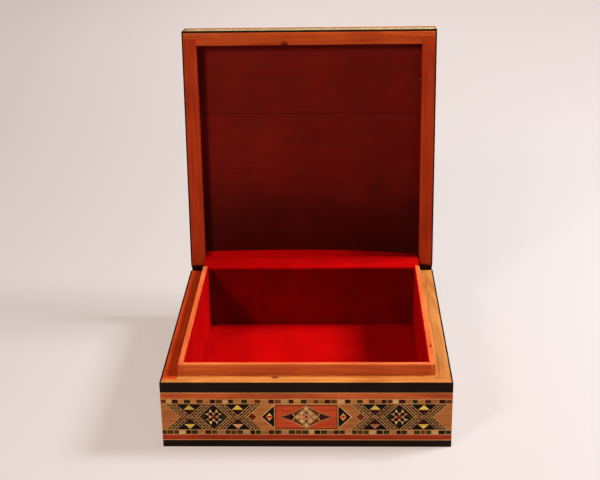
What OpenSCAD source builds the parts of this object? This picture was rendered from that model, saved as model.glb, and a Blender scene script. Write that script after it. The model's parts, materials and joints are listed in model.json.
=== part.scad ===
// Square marquetry puzzle box with a hinged lid, shown with the lid open.
// Millimetres. Origin at the centre of the underside, +Z up, front face towards -Y.

/* [Box] */
// Width of the closed box, left to right
box_w = 180; // [160:1:240]
// Depth of the closed box, front to back
box_d = 180; // [160:1:240]
// Height of the body, table to rim
body_h = 45; // [42:0.5:60]
// Height of the lid, rim to top
lid_h = 18; // [17:0.5:24]

/* [Boards] */
// Thickness of the body boards and width of the lid rails, without veneer
board_t = 9.2; // [8:0.2:12]
// Thickness of the outside veneer
veneer_t = 0.8; // [0.6:0.1:1]
// Thickness of the bottom board
bottom_t = 3; // [2.5:0.1:3.4]
// Thickness of the felt under the box
felt_t = 0.4; // [0.3:0.1:0.6]
// Thickness of the lid panel boards
panel_t = 6.2; // [5:0.2:7]
// Share of the lid panel's depth that the narrow front board takes
panel_split = 0.33; // [0.2:0.01:0.6]

/* [Liner and lip] */
// Thickness of the liner boards below the rim
liner_t = 3.6; // [3.2:0.1:5]
// Height of the lip above the rim
lip_h = 7.3; // [6.8:0.1:8]
// Gap between the lip and the lid rails
lip_gap = 0.4; // [0.3:0.05:0.6]
// Height of the back liner above the rim, under the cloth
back_lip_h = 5.5; // [2:0.5:6.5]
// Thickness of the velvet
velvet_t = 0.6; // [0.4:0.1:1]

/* [Hinge] */
// Angle between the closed and the open lid
lid_open = 94.5; // [0:0.5:94.5]
// Distance of the hinge pin's centre in front of the back face
pin_inset = 3.3; // [3:0.1:3.6]
// Width of the 45 degree bevel along the back edges
bevel_w = 6.5; // [6.2:0.1:7]
// Radius of the hinge pin
pin_r = 0.8; // [0.6:0.1:0.9]
// Number of knuckles, an odd number
knuckles = 17; // [11:2:21]
// Number of screws in each leaf
leaf_screws = 6; // [4:1:8]

/* [Bands] */
// Height of the black base band
base_band_h = 4.6; // [3.5:0.1:5]
// Height of the lower red band
low_red_h = 3.3; // [3:0.1:4]
// Height of the lower mosaic border
low_mosaic_h = 2.6; // [2:0.1:3]
// Height of the black band under the rim
rim_band_h = 6.6; // [5:0.1:8]
// Height of the upper red band
high_red_h = 3.8; // [3:0.1:4]
// Height of the upper mosaic border
high_mosaic_h = 2.6; // [2:0.1:4]
// Height of a light line of stringing
line_h = 0.6; // [0.4:0.1:0.8]

/* [Hidden lock] */
// Travel of the sliding base strip
strip_travel = 16; // [14:0.5:18]
// Travel of the lock plate
lock_travel = 7; // [7:0.1:7.2]

/* [Hidden] */
hw = box_w / 2;                       // outside faces
hd = box_d / 2;
bw = hw - veneer_t;                   // outside faces of the boards
bd = hd - veneer_t;
iw = bw - board_t;                    // inside faces of the boards
id = bd - board_t;
half_t = board_t / 2;                 // depth of every rabbet
lw = iw - liner_t;                    // inside faces of the liners
ld = id - liner_t;
floor_z = felt_t + bottom_t;          // top of the bottom board
lid_top = body_h + lid_h;
panel_z = lid_top - veneer_t - panel_t;
velvet_z = body_h + lip_h - 0.3;      // top edge of the side velvet
cloth_gap = 0.8;                      // gap between the hinge cloth and the lid's side rails
side_lip_end = ld - 1.4;              // where the side lips stop at the back
e = 0.1;                              // overshoot of cuts
slack = 0.2;                          // clearance of sliding wood

// Levels of the bands on the body, from the table up
z_line1 = base_band_h;
z_red1 = z_line1 + line_h;
z_line2 = z_red1 + low_red_h;
z_mosaic1 = z_line2 + line_h;
z_line3 = z_mosaic1 + low_mosaic_h;
z_field = z_line3 + line_h;
z_line6 = body_h - rim_band_h - line_h;
z_red2 = z_line6 - high_red_h;
z_line5 = z_red2 - line_h;
z_mosaic2 = z_line5 - high_mosaic_h;
z_line4 = z_mosaic2 - line_h;

// Levels of the bands on the lid's edge
lid_black_h = 3.5;
lid_z_line1 = body_h + lid_black_h;
lid_z_mosaic = lid_z_line1 + line_h;
lid_red_h = 3.4;
lid_z_red = lid_top - veneer_t - lid_red_h;
lid_z_line2 = lid_z_red - line_h;

// Seam between the two boards of the lid panel
panel_d = id + half_t;
split_y = -panel_d + 2 * panel_d * panel_split;

// Frames of the lid's top veneer, from the outside in
top_black_w = 7;
top_mosaic_w = 9;
top_red_w = 5;
top_inset1 = top_black_w + line_h;
top_inset2 = top_inset1 + top_mosaic_w + line_h;
top_inset3 = top_inset2 + top_red_w + line_h;

// Hinge, in the frame of a bevel: u down the slope, n out of it
pin_y = hd - pin_inset;
pin_z = body_h;
bevel_y = hd - bevel_w;
pin_u = (bevel_w - pin_inset) / sqrt(2);
knuckle_r = 1.6;
bore_r = pin_r + 0.03;
leaf_t = 0.8;
leaf_u0 = pin_u + 1.35;
leaf_u1 = (bevel_w - veneer_t) * sqrt(2) - 0.1;
hinge_l = box_w - 2 * veneer_t - 0.4;
pitch = hinge_l / knuckles;
knuckle_gap = 0.3;
screw_r = 0.6;
screw_head_r = 1.2;
screw_l = 6;
screw_u = (leaf_u0 + leaf_u1) / 2 + 0.3;

// Sliding base strip on the right side
strip_t = 3.2;                        // depth of the strip, veneer included
strip_x = hw - strip_t;
strip_y = -hd + 18;                   // its front end
strip_z0 = 0.3;
strip_z1 = z_line2 - 0.1;
tail_d = 2;                           // depth of its dovetail
tail_z = 2.8;
tail_half = 0.8;                      // half height at the neck
tail_flare = 0.5;

// Lock plate in the right liner, at its open place
plate_t = 1.2;
plate_x = iw - 1.8;
plate_y = strip_y + 2;
plate_w = 6;
plate_z0 = floor_z + 1.4;
plate_z1 = body_h + lip_h - 1.2;
finger_h = 1.4;
finger_l = 6.5;
tab_w = 4;
tab_h = 2.9;
catch_r = 1;
catch_z = plate_z1 - finger_h - 0.2 - catch_r;
catch_y = plate_y + plate_w + finger_l + 3;
pocket_x = plate_x - slack;

// A box from its lowest to its highest corner
module block(a, b) {
    translate(a) cube([b[0] - a[0], b[1] - a[1], b[2] - a[2]]);
}

// Turns the closed lid about the hinge pin to its open place
module on_lid() {
    translate([0, pin_y, pin_z]) rotate([-lid_open, 0, 0]) translate([0, -pin_y, -pin_z]) children();
}

// Mirrors the body's side of the hinge to the lid's side
module above_rim() {
    translate([0, 0, 2 * pin_z]) mirror([0, 0, 1]) children();
}

// Places a child in the frame of the body's bevel: x along the hinge, y down the slope, z out of the wood
module on_bevel() {
    translate([0, bevel_y, pin_z]) rotate([-45, 0, 0]) children();
}

// Extrudes a profile drawn in Y and Z along X, centred
module along_x(length) {
    rotate([90, 0, 90]) linear_extrude(length, center = true) children();
}

// Extrudes a profile drawn in X and Z along Y
module along_y(y0, y1) {
    translate([0, y1, 0]) rotate([90, 0, 0]) linear_extrude(y1 - y0) children();
}

// The wood that the 45 degree bevel takes off the body's back edge
module bevel_cut() {
    far = bevel_w + 1;
    over = pin_z + 1;
    along_x(box_w + 2)
        polygon([[bevel_y, pin_z], [bevel_y + far, pin_z - far], [bevel_y + far, over], [bevel_y, over]]);
}

// Screw centres along the hinge
module at_screws() {
    step = hinge_l / leaf_screws;
    for (i = [0 : leaf_screws - 1])
        translate([-hinge_l / 2 + step * (i + 0.5), screw_u, 0]) children();
}

// Holes for the screws' shanks in the bevelled wood
module screw_holes() {
    on_bevel() at_screws() translate([0, 0, -screw_l]) cylinder(h = screw_l + e, r = screw_r, $fn = 24);
}

// A board across the front, rabbeted at both ends; its inner half runs between z_in0 and z_in1
module end_board(z0, z1, z_in0, z_in1) {
    block([-bw, -bd, z0], [bw, -bd + half_t, z1]);
    block([-iw, -bd + half_t, z_in0], [iw, -id, z_in1]);
}

// A board along the right side, between the rabbets of the end boards
module side_board(z0, z1, z_in0, z_in1) {
    reach = bd - half_t;
    block([iw + half_t, -reach, z0], [bw, reach, z1]);
    block([iw, -reach, z_in0], [iw + half_t, reach, z_in1]);
}

// Four strips of veneer round the outside, cut by the bevel at the back where they meet it
module veneer_ring(z0, z1) {
    difference() {
        for (k = [0, 1]) mirror([0, k, 0]) block([-hw, -hd, z0], [hw, -bd, z1]);
        bevel_cut();
        above_rim() bevel_cut();
    }
    difference() {
        for (k = [0, 1]) mirror([k, 0, 0]) block([bw, -bd, z0], [hw, bd, z1]);
        bevel_cut();
        above_rim() bevel_cut();
    }
}

// The same ring at the level of the sliding strip, which takes its place on the right
module base_ring(z0, z1) {
    difference() {
        veneer_ring(z0, z1);
        strip_room();
    }
}

// Room for the sliding strip and its dovetail
module strip_room() {
    block([strip_x - slack, strip_y - e, -1], [hw + 1, hd + 1, z_line2]);
    along_y(strip_y - e, hd + 1) dovetail(slack);
}

// Dovetail profile in X and Z, grown by a clearance
module dovetail(grow) {
    neck = tail_half + grow;
    head = tail_half + tail_flare + grow;
    polygon([
        [strip_x + e, tail_z - neck], [strip_x + e, tail_z + neck],
        [strip_x - tail_d - grow / 2, tail_z + head], [strip_x - tail_d - grow / 2, tail_z - head]
    ]);
}

module front_wall() {
    color("sienna") end_board(0, body_h, floor_z, body_h);
}

module back_wall() {
    color("sienna") difference() {
        mirror([0, 1, 0]) end_board(0, body_h, floor_z, body_h);
        bevel_cut();
        screw_holes();
        strip_room();
    }
}

module left_wall() {
    color("sienna") difference() {
        mirror([1, 0, 0]) side_board(0, body_h, floor_z, body_h);
        bevel_cut();
    }
}

module right_wall() {
    slot_y0 = plate_y + (plate_w - tab_w) / 2 - 0.3;
    color("sienna") difference() {
        side_board(0, body_h, floor_z, body_h);
        bevel_cut();
        strip_room();
        block([iw - e, slot_y0, plate_z0], [hw, slot_y0 + tab_w + lock_travel + 0.6, plate_z0 + tab_h + 0.4]);
    }
}

module bottom_panel() {
    color("burlywood") block([-iw - half_t, -id - half_t, felt_t], [iw + half_t, id + half_t, floor_z]);
}

module base_felt() {
    color("darkgreen") block([-iw - half_t, -id - half_t, 0], [iw + half_t, id + half_t, felt_t]);
}

// A liner across the front between the side liners, with its lip set back from the rim
module end_liner(lip) {
    block([-lw, -id, floor_z], [lw, -ld, body_h]);
    block([-lw, -id + lip_gap, body_h - e], [lw, -ld, body_h + lip]);
}

// A liner along the right side
module side_liner() {
    block([lw, -id, floor_z], [iw, id, body_h]);
    block([lw, -id + lip_gap, body_h - e], [iw - lip_gap, side_lip_end, body_h + lip_h]);
}

module front_liner() {
    color("peru") end_liner(lip_h);
}

module back_liner() {
    color("peru") mirror([0, 1, 0]) end_liner(back_lip_h);
}

module left_liner() {
    color("peru") mirror([1, 0, 0]) side_liner();
}

module right_liner() {
    finger_z = plate_z1 - finger_h - slack;
    notch = catch_r + 0.4;
    color("peru") difference() {
        side_liner();
        block([pocket_x, plate_y - 0.3, plate_z0 - slack],
              [iw + e, plate_y + plate_w + lock_travel + 0.3, plate_z1 + slack]);
        block([pocket_x, plate_y, finger_z],
              [iw + e, plate_y + plate_w + finger_l + lock_travel + 0.5, plate_z1 + slack]);
        block([pocket_x, catch_y - notch, catch_z - notch], [iw + e, catch_y + notch, velvet_z + 1]);
    }
}

module velvet_floor() {
    color("crimson") block([-lw, -ld, floor_z], [lw, ld, floor_z + velvet_t]);
}

module end_velvet(top) {
    block([-lw, -ld, floor_z + velvet_t], [lw, -ld + velvet_t, top]);
}

module side_velvet() {
    block([lw - velvet_t, -ld + velvet_t, floor_z + velvet_t], [lw, ld - velvet_t, body_h]);
    block([lw - velvet_t, -ld + velvet_t, body_h - e], [lw, side_lip_end, velvet_z]);
}

module velvet_front() {
    color("crimson") end_velvet(velvet_z);
}

module velvet_back() {
    color("crimson") mirror([0, 1, 0]) end_velvet(body_h + back_lip_h);
}

module velvet_left() {
    color("crimson") mirror([1, 0, 0]) side_velvet();
}

module velvet_right() {
    color("crimson") side_velvet();
}

// Velvet strip from the back liner over the hinge and up the lid's back rail, drawn for the open lid
module hinge_cloth() {
    z_low = body_h + back_lip_h;
    reach = pin_y - id;
    rail_y = pin_y + reach * cos(180 - lid_open);
    rail_z = pin_z + reach * sin(180 - lid_open);
    lean = 90 - lid_open;
    depth = panel_z - body_h - 0.2;
    far_y = rail_y + depth * cos(lean);
    far_z = rail_z + depth * sin(lean);
    lift = 0.1;
    color("crimson") along_x(2 * (iw - cloth_gap)) polygon([
        [ld - velvet_t, z_low + lift], [ld + liner_t / 2, z_low + lift], [rail_y - 0.3, rail_z + lift],
        [far_y, far_z + lift], [far_y, far_z + lift + velvet_t],
        [rail_y - 0.5, rail_z + lift + velvet_t], [ld - velvet_t, z_low + lift + velvet_t]
    ]);
}

module black_rim_bands() {
    color("black") veneer_ring(body_h - rim_band_h, body_h);
}

module black_base_bands() {
    color("black") base_ring(0, z_line1);
}

module upper_red_bands() {
    color("orangered") veneer_ring(z_red2, z_line6);
}

module lower_red_bands() {
    color("orangered") base_ring(z_red1, z_line2);
}

module body_stringing() {
    color("tan") {
        base_ring(z_line1, z_red1);
        for (z = [z_line2, z_line3, z_line4, z_line5, z_line6]) veneer_ring(z, z + line_h);
    }
}

module upper_mosaic_borders() {
    color("darkkhaki") veneer_ring(z_mosaic2, z_line5);
}

module lower_mosaic_borders() {
    color("darkkhaki") veneer_ring(z_mosaic1, z_line3);
}

module field_panel_end() {
    block([-hw, -hd, z_field], [hw, -bd, z_line4]);
}

module field_panel_side() {
    block([bw, -bd, z_field], [hw, bd, z_line4]);
}

module marquetry_front() {
    color("saddlebrown") field_panel_end();
}

module marquetry_back() {
    color("saddlebrown") mirror([0, 1, 0]) field_panel_end();
}

module marquetry_left() {
    color("saddlebrown") mirror([1, 0, 0]) field_panel_side();
}

module marquetry_right() {
    color("saddlebrown") field_panel_side();
}

// A leaf with the knuckles whose number leaves the given remainder, in the bevel's frame
module hinge_leaf(odd) {
    on_bevel() difference() {
        union() {
            translate([-hinge_l / 2, leaf_u0, 0]) cube([hinge_l, leaf_u1 - leaf_u0, leaf_t]);
            for (i = [odd : 2 : knuckles - 1])
                translate([-hinge_l / 2 + pitch * i + knuckle_gap / 2, 0, 0]) {
                    translate([0, pin_u, pin_u]) rotate([0, 90, 0])
                        cylinder(h = pitch - knuckle_gap, r = knuckle_r, $fn = 48);
                    translate([0, pin_u - 0.1, 0])
                        cube([pitch - knuckle_gap, leaf_u0 - pin_u + 0.2, leaf_t + 0.3]);
                }
        }
        translate([-hinge_l / 2 - 1, pin_u, pin_u]) rotate([0, 90, 0])
            cylinder(h = hinge_l + 2, r = bore_r, $fn = 48);
        at_screws() screw_body();
    }
}

// A countersunk screw, its head flush with the leaf
module screw_body() {
    translate([0, 0, -screw_l]) cylinder(h = screw_l + leaf_t, r = screw_r, $fn = 24);
    cylinder(h = leaf_t, r1 = screw_r, r2 = screw_head_r, $fn = 24);
}

module hinge_leaf_body() {
    color("goldenrod") hinge_leaf(0);
}

module hinge_pin() {
    color("gray") translate([-hinge_l / 2, pin_y, pin_z]) rotate([0, 90, 0])
        cylinder(h = hinge_l, r = pin_r, $fn = 48);
}

module hinge_screws_body() {
    color("gold") on_bevel() at_screws() screw_body();
}

// The sliding strip's wooden core with its dovetail
module strip_core() {
    color("sienna") {
        block([strip_x, strip_y, strip_z0], [bw, hd, strip_z1]);
        along_y(strip_y, hd) dovetail(0);
    }
}

module strip_face(z0, z1) {
    block([bw, strip_y, z0], [hw, hd, z1]);
}

module strip_black_band() {
    color("black") strip_face(strip_z0, z_line1);
}

module strip_stringing() {
    color("tan") strip_face(z_line1, z_red1);
}

module strip_red_band() {
    color("orangered") strip_face(z_red1, strip_z1);
}

// Brass plate in the liner's pocket, with a finger at its top that reaches over the catch pin
module lock_plate() {
    color("goldenrod") {
        block([plate_x, plate_y, plate_z0], [plate_x + plate_t, plate_y + plate_w, plate_z1]);
        block([plate_x, plate_y + plate_w - e, plate_z1 - finger_h],
              [plate_x + plate_t, plate_y + plate_w + finger_l, plate_z1]);
    }
}

module lock_thumb_tab() {
    y0 = plate_y + (plate_w - tab_w) / 2;
    color("goldenrod")
        block([plate_x + plate_t, y0, plate_z0 + slack],
              [strip_x - slack, y0 + tab_w, plate_z0 + slack + tab_h]);
}

module lid_front_rail() {
    color("sienna") on_lid() end_board(body_h, lid_top - veneer_t, body_h, panel_z);
}

module lid_back_rail() {
    color("sienna") on_lid() difference() {
        mirror([0, 1, 0]) end_board(body_h, lid_top - veneer_t, body_h, panel_z);
        above_rim() {
            bevel_cut();
            screw_holes();
        }
    }
}

module lid_side_rail() {
    difference() {
        side_board(body_h, lid_top - veneer_t, body_h, panel_z);
        above_rim() bevel_cut();
    }
}

module lid_left_rail() {
    color("sienna") on_lid() mirror([1, 0, 0]) lid_side_rail();
}

module lid_right_rail() {
    color("sienna") on_lid() difference() {
        lid_side_rail();
        catch_shaft(iw - e);
    }
}

// The catch pin's shaft from a given place to the bottom of its hole
module catch_shaft(x0) {
    translate([x0, catch_y, catch_z]) rotate([0, 90, 0])
        cylinder(h = iw + half_t - x0, r = catch_r, $fn = 32);
}

module lid_catch_pin() {
    color("gold") on_lid() catch_shaft(plate_x + 0.1);
}

module lid_panel_front() {
    color("maroon") on_lid()
        block([-iw - half_t, -panel_d, panel_z], [iw + half_t, split_y, lid_top - veneer_t]);
}

module lid_panel_back() {
    color("maroon") on_lid()
        block([-iw - half_t, split_y, panel_z], [iw + half_t, panel_d, lid_top - veneer_t]);
}

module lid_black_bands() {
    color("black") on_lid() veneer_ring(body_h, lid_z_line1);
}

module lid_edge_mosaics() {
    color("darkkhaki") on_lid() veneer_ring(lid_z_mosaic, lid_z_line2);
}

module lid_red_bands() {
    color("orangered") on_lid() veneer_ring(lid_z_red, lid_top - veneer_t);
}

module lid_stringing() {
    color("tan") on_lid() for (z = [lid_z_line1, lid_z_line2]) veneer_ring(z, z + line_h);
}

// A flat square frame on the lid's top, from one inset to another
module top_frame(inset, width) {
    z0 = lid_top - veneer_t;
    on_lid() difference() {
        block([-hw + inset, -hd + inset, z0], [hw - inset, hd - inset, lid_top]);
        block([-hw + inset + width, -hd + inset + width, z0 - 1],
              [hw - inset - width, hd - inset - width, lid_top + 1]);
    }
}

module lid_top_black_border() {
    color("black") top_frame(0, top_black_w);
}

module lid_top_mosaic_border() {
    color("darkkhaki") top_frame(top_inset1, top_mosaic_w);
}

module lid_top_red_border() {
    color("orangered") top_frame(top_inset2, top_red_w);
}

module lid_top_stringing() {
    color("tan") for (inset = [top_inset1, top_inset2, top_inset3]) top_frame(inset - line_h, line_h);
}

module lid_top_marquetry() {
    color("saddlebrown") on_lid()
        block([-hw + top_inset3, -hd + top_inset3, lid_top - veneer_t],
              [hw - top_inset3, hd - top_inset3, lid_top]);
}

module hinge_leaf_lid() {
    color("goldenrod") on_lid() above_rim() hinge_leaf(1);
}

module hinge_screws_lid() {
    color("gold") on_lid() above_rim() on_bevel() at_screws() screw_body();
}

front_wall();
back_wall();
left_wall();
right_wall();
bottom_panel();
base_felt();
front_liner();
back_liner();
left_liner();
right_liner();
velvet_floor();
velvet_front();
velvet_back();
velvet_left();
velvet_right();
hinge_cloth();
black_rim_bands();
black_base_bands();
upper_red_bands();
lower_red_bands();
body_stringing();
upper_mosaic_borders();
lower_mosaic_borders();
marquetry_front();
marquetry_back();
marquetry_left();
marquetry_right();
hinge_leaf_body();
hinge_pin();
hinge_screws_body();
strip_core();
strip_black_band();
strip_red_band();
strip_stringing();
lock_plate();
lock_thumb_tab();
lid_front_rail();
lid_back_rail();
lid_left_rail();
lid_right_rail();
lid_panel_front();
lid_panel_back();
lid_black_bands();
lid_edge_mosaics();
lid_red_bands();
lid_stringing();
lid_top_black_border();
lid_top_mosaic_border();
lid_top_red_border();
lid_top_stringing();
lid_top_marquetry();
hinge_leaf_lid();
hinge_screws_lid();
lid_catch_pin();
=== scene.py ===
"""Looks of a square marquetry puzzle box, built round its packed mechanical model.

The mechanical model gives every size and place. This script dresses its boards, lays the
marquetry piece by piece, lines the inside with velvet, and sets the light and the camera.
Sizes inside the classes are in millimetres unless a name says otherwise.
"""

from __future__ import annotations

import json
import logging
import math
from dataclasses import dataclass, field
from enum import Enum

import bmesh
import bpy
import numpy as np
from mathutils import Matrix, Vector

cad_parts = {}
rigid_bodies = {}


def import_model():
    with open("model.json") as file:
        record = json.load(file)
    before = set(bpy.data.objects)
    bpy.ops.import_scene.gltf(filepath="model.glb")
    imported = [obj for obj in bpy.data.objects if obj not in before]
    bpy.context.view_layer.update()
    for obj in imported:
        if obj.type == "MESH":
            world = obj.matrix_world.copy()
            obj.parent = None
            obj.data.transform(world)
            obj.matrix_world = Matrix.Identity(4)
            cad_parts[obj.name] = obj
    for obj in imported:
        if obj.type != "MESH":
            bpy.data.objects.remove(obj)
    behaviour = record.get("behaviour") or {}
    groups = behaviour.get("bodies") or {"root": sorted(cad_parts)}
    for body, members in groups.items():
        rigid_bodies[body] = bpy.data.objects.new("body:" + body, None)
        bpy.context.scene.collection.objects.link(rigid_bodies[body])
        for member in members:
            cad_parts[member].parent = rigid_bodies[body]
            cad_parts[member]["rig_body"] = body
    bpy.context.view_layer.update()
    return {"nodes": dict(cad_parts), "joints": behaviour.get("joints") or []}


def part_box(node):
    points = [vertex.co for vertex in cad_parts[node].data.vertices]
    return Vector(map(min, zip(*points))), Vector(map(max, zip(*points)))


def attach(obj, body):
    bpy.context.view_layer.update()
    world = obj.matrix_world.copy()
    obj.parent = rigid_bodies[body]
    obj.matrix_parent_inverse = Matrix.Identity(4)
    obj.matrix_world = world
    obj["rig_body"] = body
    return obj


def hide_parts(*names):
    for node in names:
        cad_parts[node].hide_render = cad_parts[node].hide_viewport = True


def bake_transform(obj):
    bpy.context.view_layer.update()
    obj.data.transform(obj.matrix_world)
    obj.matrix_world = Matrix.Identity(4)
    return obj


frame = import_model()

MM = 0.001
LOG = logging.getLogger("puzzle_box")
RNG = np.random.default_rng(1871)

Array = np.ndarray
Socket = bpy.types.NodeSocket
Material = bpy.types.Material
Piece = bpy.types.Object
Colour = tuple[float, float, float, float]


def tint(code: str) -> Colour:
    """Turn a display colour into the linear colour that shaders take.

    Args:
        code: six hexadecimal digits.

    Returns:
        Linear red, green, blue and alpha.
    """
    values = np.array([int(code[i : i + 2], 16) for i in (0, 2, 4)]) / 255
    linear = np.where(values <= 0.04045, values / 12.92, ((values + 0.055) / 1.055) ** 2.4)
    return (float(linear[0]), float(linear[1]), float(linear[2]), 1.0)


# --------------------------------------------------------------------------- places


def joint(name: str) -> dict:
    """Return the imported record's joint of that name."""
    return next(j for j in frame["joints"] if j["name"] == name)


def lid_matrix() -> Matrix:
    """Turn the closed lid about the hinge pin to its open place.

    Returns:
        The 4 x 4 matrix.
    """
    hinge = joint("lid_hinge")
    pivot = Matrix.Translation(hinge["pos_m"])
    turn = Matrix.Rotation(-math.radians(hinge["range_deg"][1]), 4, "X")
    return pivot @ turn @ pivot.inverted()


LID = lid_matrix()
LID_BACK = LID.inverted()


def moved(points: Array, matrix: Matrix) -> Array:
    """Carry points through a matrix.

    Args:
        points: n points, n x 3, in metres.
        matrix: a 4 x 4 matrix.

    Returns:
        The moved points, n x 3.
    """
    m = np.array(matrix)
    return points @ m[:3, :3].T + m[:3, 3]


def vertices(mesh: bpy.types.Mesh) -> Array:
    """Read a mesh's vertices, n x 3, in metres."""
    points = np.empty(len(mesh.vertices) * 3)
    mesh.vertices.foreach_get("co", points)
    return points.reshape(-1, 3)


def closed_box(node: str) -> tuple[Array, Array]:
    """Give a lid node's corners as they are with the lid closed.

    Args:
        node: a node on the lid.

    Returns:
        Lowest and highest corner, in millimetres.
    """
    points = moved(vertices(frame["nodes"][node].data), LID_BACK) / MM
    return points.min(axis=0), points.max(axis=0)


def body_box(node: str) -> tuple[Array, Array]:
    """Give a node's lowest and highest corner at rest, in millimetres."""
    low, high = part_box(node)
    return np.array(low) / MM, np.array(high) / MM


def closed_half() -> Array:
    """Measure the closed box.

    Returns:
        Half its width, depth and height, in metres.
    """
    low, high = body_box("black_base_bands")
    top = closed_box("lid_top_black_border")[1]
    return np.array([high[0] - low[0], high[1] - low[1], top[2]]) / 2 * MM


# --------------------------------------------------------------------------- shader tools


# A Mix node keeps every data type's sockets in one list. These are the factor and the colours.
MIX_COLOUR_INPUTS, MIX_COLOUR_OUTPUT = (0, 6, 7), 2


class Tree:
    """A small helper that adds nodes to a material or a group and links them."""

    def __init__(self, tree: bpy.types.NodeTree) -> None:
        """Keep the tree that nodes are added to."""
        self.tree = tree

    def node(self, kind: str, **settings: object) -> bpy.types.Node:
        """Add a node.

        Args:
            kind: the node's type name.
            settings: properties to set on it.

        Returns:
            The new node.
        """
        made = self.tree.nodes.new(kind)
        for key, value in settings.items():
            setattr(made, key, value)
        return made

    def put(self, socket: Socket, value: object) -> None:
        """Link a socket or set its own value.

        Args:
            socket: the input.
            value: what it is set to, or the output that feeds it.
        """
        if isinstance(value, Socket):
            self.tree.links.new(value, socket)
        else:
            socket.default_value = value

    def fill(self, node: bpy.types.Node, values: dict[str, object]) -> None:
        """Link or set several inputs of a node.

        Args:
            node: the node.
            values: input name to its value, or to the output that feeds it.
        """
        for name, value in values.items():
            self.put(node.inputs[name], value)

    def group(self, tree: bpy.types.NodeTree, values: dict[str, object]) -> bpy.types.NodeOutputs:
        """Place a node group with its own values.

        Args:
            tree: the group.
            values: input name to its value, or to the output that feeds it.

        Returns:
            The group's outputs.
        """
        made = self.node("ShaderNodeGroup", node_tree=tree)
        self.fill(made, values)
        return made.outputs

    def split(self, vector: Socket) -> bpy.types.NodeOutputs:
        """Split a vector into its X, Y and Z outputs."""
        made = self.node("ShaderNodeSeparateXYZ")
        self.put(made.inputs[0], vector)
        return made.outputs

    def grey(self, value: Socket) -> Socket:
        """Make a grey colour out of one value."""
        made = self.node("ShaderNodeCombineColor")
        self.fill(made, {name: value for name in ("Red", "Green", "Blue")})
        return made.outputs[0]

    def math(self, operation: str, *values: object, clamp: bool = False) -> Socket:
        """Add a Math node.

        Args:
            operation: what it works out.
            values: its inputs in order.
            clamp: keep the result between 0 and 1.

        Returns:
            Its output.
        """
        made = self.node("ShaderNodeMath", operation=operation, use_clamp=clamp)
        for socket, value in zip(made.inputs, values):
            self.put(socket, value)
        return made.outputs[0]

    def vector(self, operation: str, *values: object) -> Socket:
        """Add a Vector Math node.

        Args:
            operation: what it works out.
            values: its inputs in order.

        Returns:
            Its value for a length or a product, or else its vector.
        """
        made = self.node("ShaderNodeVectorMath", operation=operation)
        for socket, value in zip(made.inputs, values):
            self.put(socket, value)
        scalar = operation in {"LENGTH", "DISTANCE", "DOT_PRODUCT"}
        return made.outputs["Value" if scalar else "Vector"]

    def noise(
        self, vector: object, scale: object, detail: float = 2.0, warp: float = 0.0
    ) -> Socket:
        """Add a Noise Texture.

        Args:
            vector: where it is read.
            scale: how many waves there are to a unit.
            detail: how many finer noises are added.
            warp: how far it is bent.

        Returns:
            Its value.
        """
        made = self.node("ShaderNodeTexNoise")
        self.fill(made, {"Vector": vector, "Scale": scale, "Detail": detail, "Distortion": warp})
        return made.outputs["Fac"]

    def step(
        self, value: object, low: float, high: float, to_low: float = 0.0, to_high: float = 1.0
    ) -> Socket:
        """Map a value smoothly from one range to another.

        Args:
            value: what is mapped.
            low: where its range starts.
            high: where its range ends.
            to_low: what it gives at the start.
            to_high: what it gives at the end.

        Returns:
            The mapped value.
        """
        made = self.node("ShaderNodeMapRange", interpolation_type="SMOOTHSTEP")
        self.fill(
            made, {"Value": value, "From Min": low, "From Max": high, "To Min": to_low, "To Max": to_high}
        )
        return made.outputs["Result"]

    def mix(self, amount: object, a: object, b: object, blend: str = "MIX") -> Socket:
        """Mix two colours.

        Args:
            amount: how much of the second colour there is.
            a: the first colour.
            b: the second colour.
            blend: how they are mixed.

        Returns:
            The mixed colour.
        """
        made = self.node("ShaderNodeMix", data_type="RGBA", blend_type=blend)
        for number, value in zip(MIX_COLOUR_INPUTS, (amount, a, b)):
            self.put(made.inputs[number], value)
        return made.outputs[MIX_COLOUR_OUTPUT]


class Group(Tree):
    """A shader node group with named inputs and outputs."""

    def __init__(self, name: str, inputs: dict[str, tuple], outputs: dict[str, str]) -> None:
        """Make the group's sockets.

        Args:
            name: the group's name.
            inputs: socket name to (socket type, default).
            outputs: socket name to socket type.
        """
        super().__init__(bpy.data.node_groups.new(name, "ShaderNodeTree"))
        for key, (kind, default) in inputs.items():
            socket = self.tree.interface.new_socket(key, in_out="INPUT", socket_type=kind)
            if default is not None:
                socket.default_value = default
        for key, kind in outputs.items():
            self.tree.interface.new_socket(key, in_out="OUTPUT", socket_type=kind)
        self.given = self.node("NodeGroupInput").outputs
        self.out = self.node("NodeGroupOutput").inputs


FLOAT, VECTOR, COLOUR = "NodeSocketFloat", "NodeSocketVector", "NodeSocketColor"
KNOT_TINT, DUST_TINT, BACK_DARK_TINT = "5c1c08", "b08060", "1c0402"
# Waves to a metre, along the fibres and across them twice.
GROWTH_WAVES, FIBRE_WAVES, PORE_WAVES = (7.0, 70.0, 70.0), (22.0, 900.0, 900.0), (140.0, 2600.0, 2600.0)
# How far the slow noise turns the sine that draws the growth lines, in radians.
RING_TURNS = 46.0


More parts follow.
